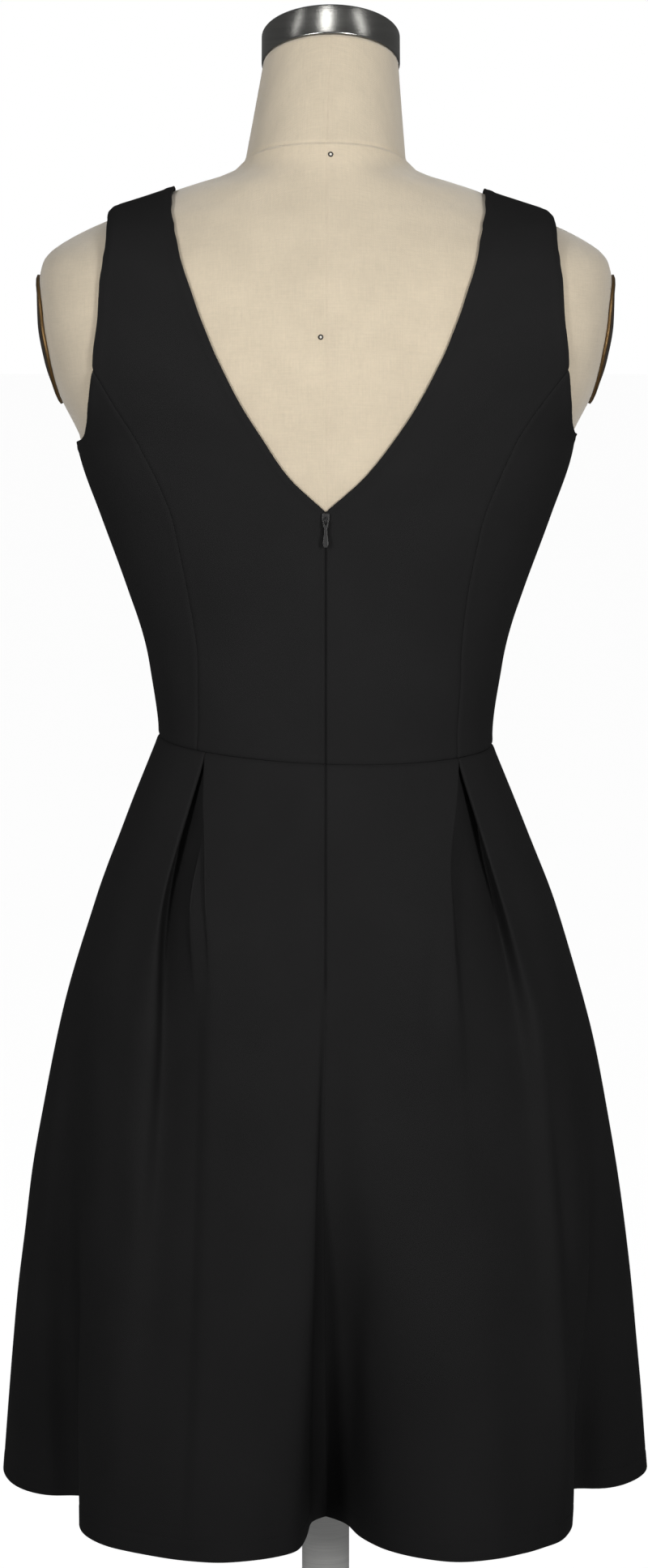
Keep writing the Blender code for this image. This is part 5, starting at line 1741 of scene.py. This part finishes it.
def add_studio(settings):
    """A pale floor, an even sky, two softboxes, the reflectors for the cap and the camera."""
    scene = bpy.context.scene
    bm = bmesh.new()
    bmesh.ops.create_grid(bm, x_segments=2, y_segments=2, size=settings.floor_size / 2)
    mesh = bpy.data.meshes.new("studio_floor")
    bm.to_mesh(mesh)
    bm.free()
    mesh.materials.append(finish_of("floor"))
    floor = bpy.data.objects.new("studio_floor", mesh)
    scene.collection.objects.link(floor)

    world = bpy.data.worlds.new("studio_sky")
    scene.world = world
    world.use_nodes = True
    tree = world.node_tree
    seen = tree.nodes.new("ShaderNodeLightPath")
    strengths = {"Is Camera Ray": 1.0, "Is Diffuse Ray": settings.sky, "Is Glossy Ray": settings.sky_gloss}
    total = 0.0
    for ray, strength in strengths.items():
        share = tree.nodes.new("ShaderNodeMath")
        share.operation = "MULTIPLY_ADD"
        tree.links.new(seen.outputs[ray], share.inputs[0])
        share.inputs[1].default_value = strength
        if total:
            tree.links.new(total, share.inputs[2])
        else:
            share.inputs[2].default_value = 0
        total = share.outputs[0]
    tree.links.new(total, tree.nodes["Background"].inputs["Strength"])
    tree.nodes["Background"].inputs["Color"].default_value = (1, 1, 1, 1)
    world.cycles.sampling_method = "NONE"
    floor.visible_glossy = False
    floor.visible_diffuse = False

    lamps = [add_lamp(row) for row in LAMPS]

    camera = bpy.data.cameras.new("studio_camera")
    camera.lens = CAMERA_LENS
    camera.sensor_width = 36
    camera.clip_end = 200
    eye = bpy.data.objects.new("studio_camera", camera)
    eye.location = CAMERA_PLACE
    eye.rotation_euler = (math.radians(90 - CAMERA_PITCH), 0, 0)
    scene.collection.objects.link(eye)
    scene.camera = eye
    scene.view_settings.view_transform = "Standard"


# ---------------------------------------------------------------- add-on


class CrepeSettings(bpy.types.PropertyGroup):
    """The dress's cloth and how finely it is meshed."""

    thickness: FloatProperty(
        name="Thickness",
        description="Thickness of the crepe",
        default=CLOTH_THICKNESS * MM,
        unit="LENGTH",
        subtype="DISTANCE",
    )
    colour: FloatVectorProperty(
        name="Colour",
        description="Colour of the crepe",
        default=(0.0121, 0.0121, 0.0125),
        subtype="COLOR",
        size=3,
    )
    wale: FloatProperty(
        name="Wale", description="Width of one wale of the knit", default=0.0011, unit="LENGTH", precision=5
    )
    course: FloatProperty(
        name="Course", description="Height of one course", default=0.0009, unit="LENGTH", precision=5
    )
    bodice_columns: IntProperty(name="Bodice columns", description="Columns across a panel", default=26)
    bodice_rows: IntProperty(name="Bodice rows", description="Rows up a bodice panel", default=120)
    skirt_fineness: IntProperty(name="Skirt columns", description="Columns from line to line", default=7)
    skirt_rows: IntProperty(name="Skirt rows", description="Rows down the skirt", default=110)


class LinenSettings(bpy.types.PropertyGroup):
    """The dress form's cover."""

    colour: FloatVectorProperty(
        name="Colour",
        description="Colour of the linen",
        default=(0.63, 0.545, 0.417),
        subtype="COLOR",
        size=3,
    )
    thread: FloatProperty(
        name="Thread", description="Spacing of two threads", default=0.0011, unit="LENGTH", precision=5
    )


class StudioSettings(bpy.types.PropertyGroup):
    """The studio round the dress."""

    floor_colour: FloatVectorProperty(
        name="Floor",
        description="Colour of the floor",
        default=(0.96, 0.96, 0.96),
        subtype="COLOR",
        size=3,
    )
    floor_size: FloatProperty(
        name="Floor size",
        description="Side of the floor",
        default=160.0,
        unit="LENGTH",
        subtype="DISTANCE",
    )
    sky: FloatProperty(name="Sky", description="Strength of the light from all round", default=0.3)
    sky_gloss: FloatProperty(name="Sky gloss", description="Its strength in reflections", default=0.115)


class DRESS_OT_bodice(bpy.types.Operator):
    """Cut and shape the seven panels of the bodice"""

    bl_idname = "dress.bodice"
    bl_label = "Bodice"

    def execute(self, context):
        add_bodice(context.scene.dress_crepe)
        return {"FINISHED"}


class DRESS_OT_skirt(bpy.types.Operator):
    """Pleat and hang the three panels of the skirt, and stitch its hem"""

    bl_idname = "dress.skirt"
    bl_label = "Skirt"

    def execute(self, context):
        add_skirt(context.scene.dress_crepe)
        return {"FINISHED"}


class DRESS_OT_zip(bpy.types.Operator):
    """Set the zip's slider and its pull"""

    bl_idname = "dress.zip"
    bl_label = "Zip"

    def execute(self, context):
        add_zip()
        return {"FINISHED"}


class DRESS_OT_form(bpy.types.Operator):
    """Cover the dress form's torso and neck, and fit its cap and arm plates"""

    bl_idname = "dress.form"
    bl_label = "Dress form"

    def execute(self, context):
        add_form()
        add_cap()
        add_arm_plates()
        return {"FINISHED"}


class DRESS_OT_stand(bpy.types.Operator):
    """Turn the cast foot and the pole"""

    bl_idname = "dress.stand"
    bl_label = "Stand"

    def execute(self, context):
        add_stand()
        return {"FINISHED"}


class DRESS_OT_studio(bpy.types.Operator):
    """Lay the floor, light it and set the camera"""

    bl_idname = "dress.studio"
    bl_label = "Studio"

    def execute(self, context):
        add_studio(context.scene.dress_studio)
        return {"FINISHED"}


OPERATORS = (DRESS_OT_form, DRESS_OT_bodice, DRESS_OT_skirt, DRESS_OT_zip, DRESS_OT_stand, DRESS_OT_studio)
SETTINGS = {"dress_crepe": CrepeSettings, "dress_linen": LinenSettings, "dress_studio": StudioSettings}


class DRESS_PT_steps(bpy.types.Panel):
    """The steps that build the dress, in their order"""

    bl_idname = "DRESS_PT_steps"
    bl_label = "Dress"
    bl_space_type = "VIEW_3D"
    bl_region_type = "UI"
    bl_category = "Dress"

    def draw(self, context):
        for operator in OPERATORS:
            self.layout.operator(operator.bl_idname)
        for name, group in SETTINGS.items():
            box = self.layout.box()
            for setting in group.__annotations__:
                box.prop(getattr(context.scene, name), setting)


def register():
    for name, group in SETTINGS.items():
        bpy.utils.register_class(group)
        setattr(bpy.types.Scene, name, PointerProperty(type=group))
    for operator in OPERATORS:
        bpy.utils.register_class(operator)
    bpy.utils.register_class(DRESS_PT_steps)


def unregister():
    bpy.utils.unregister_class(DRESS_PT_steps)
    for operator in OPERATORS[::-1]:
        bpy.utils.unregister_class(operator)
    for name, group in SETTINGS.items():
        delattr(bpy.types.Scene, name)
        bpy.utils.unregister_class(group)


def main():
    register()
    bpy.ops.dress.form()
    bpy.ops.dress.bodice()
    bpy.ops.dress.skirt()
    bpy.ops.dress.zip()
    bpy.ops.dress.stand()
    bpy.ops.dress.studio()


if __name__ == "__main__":
    main()
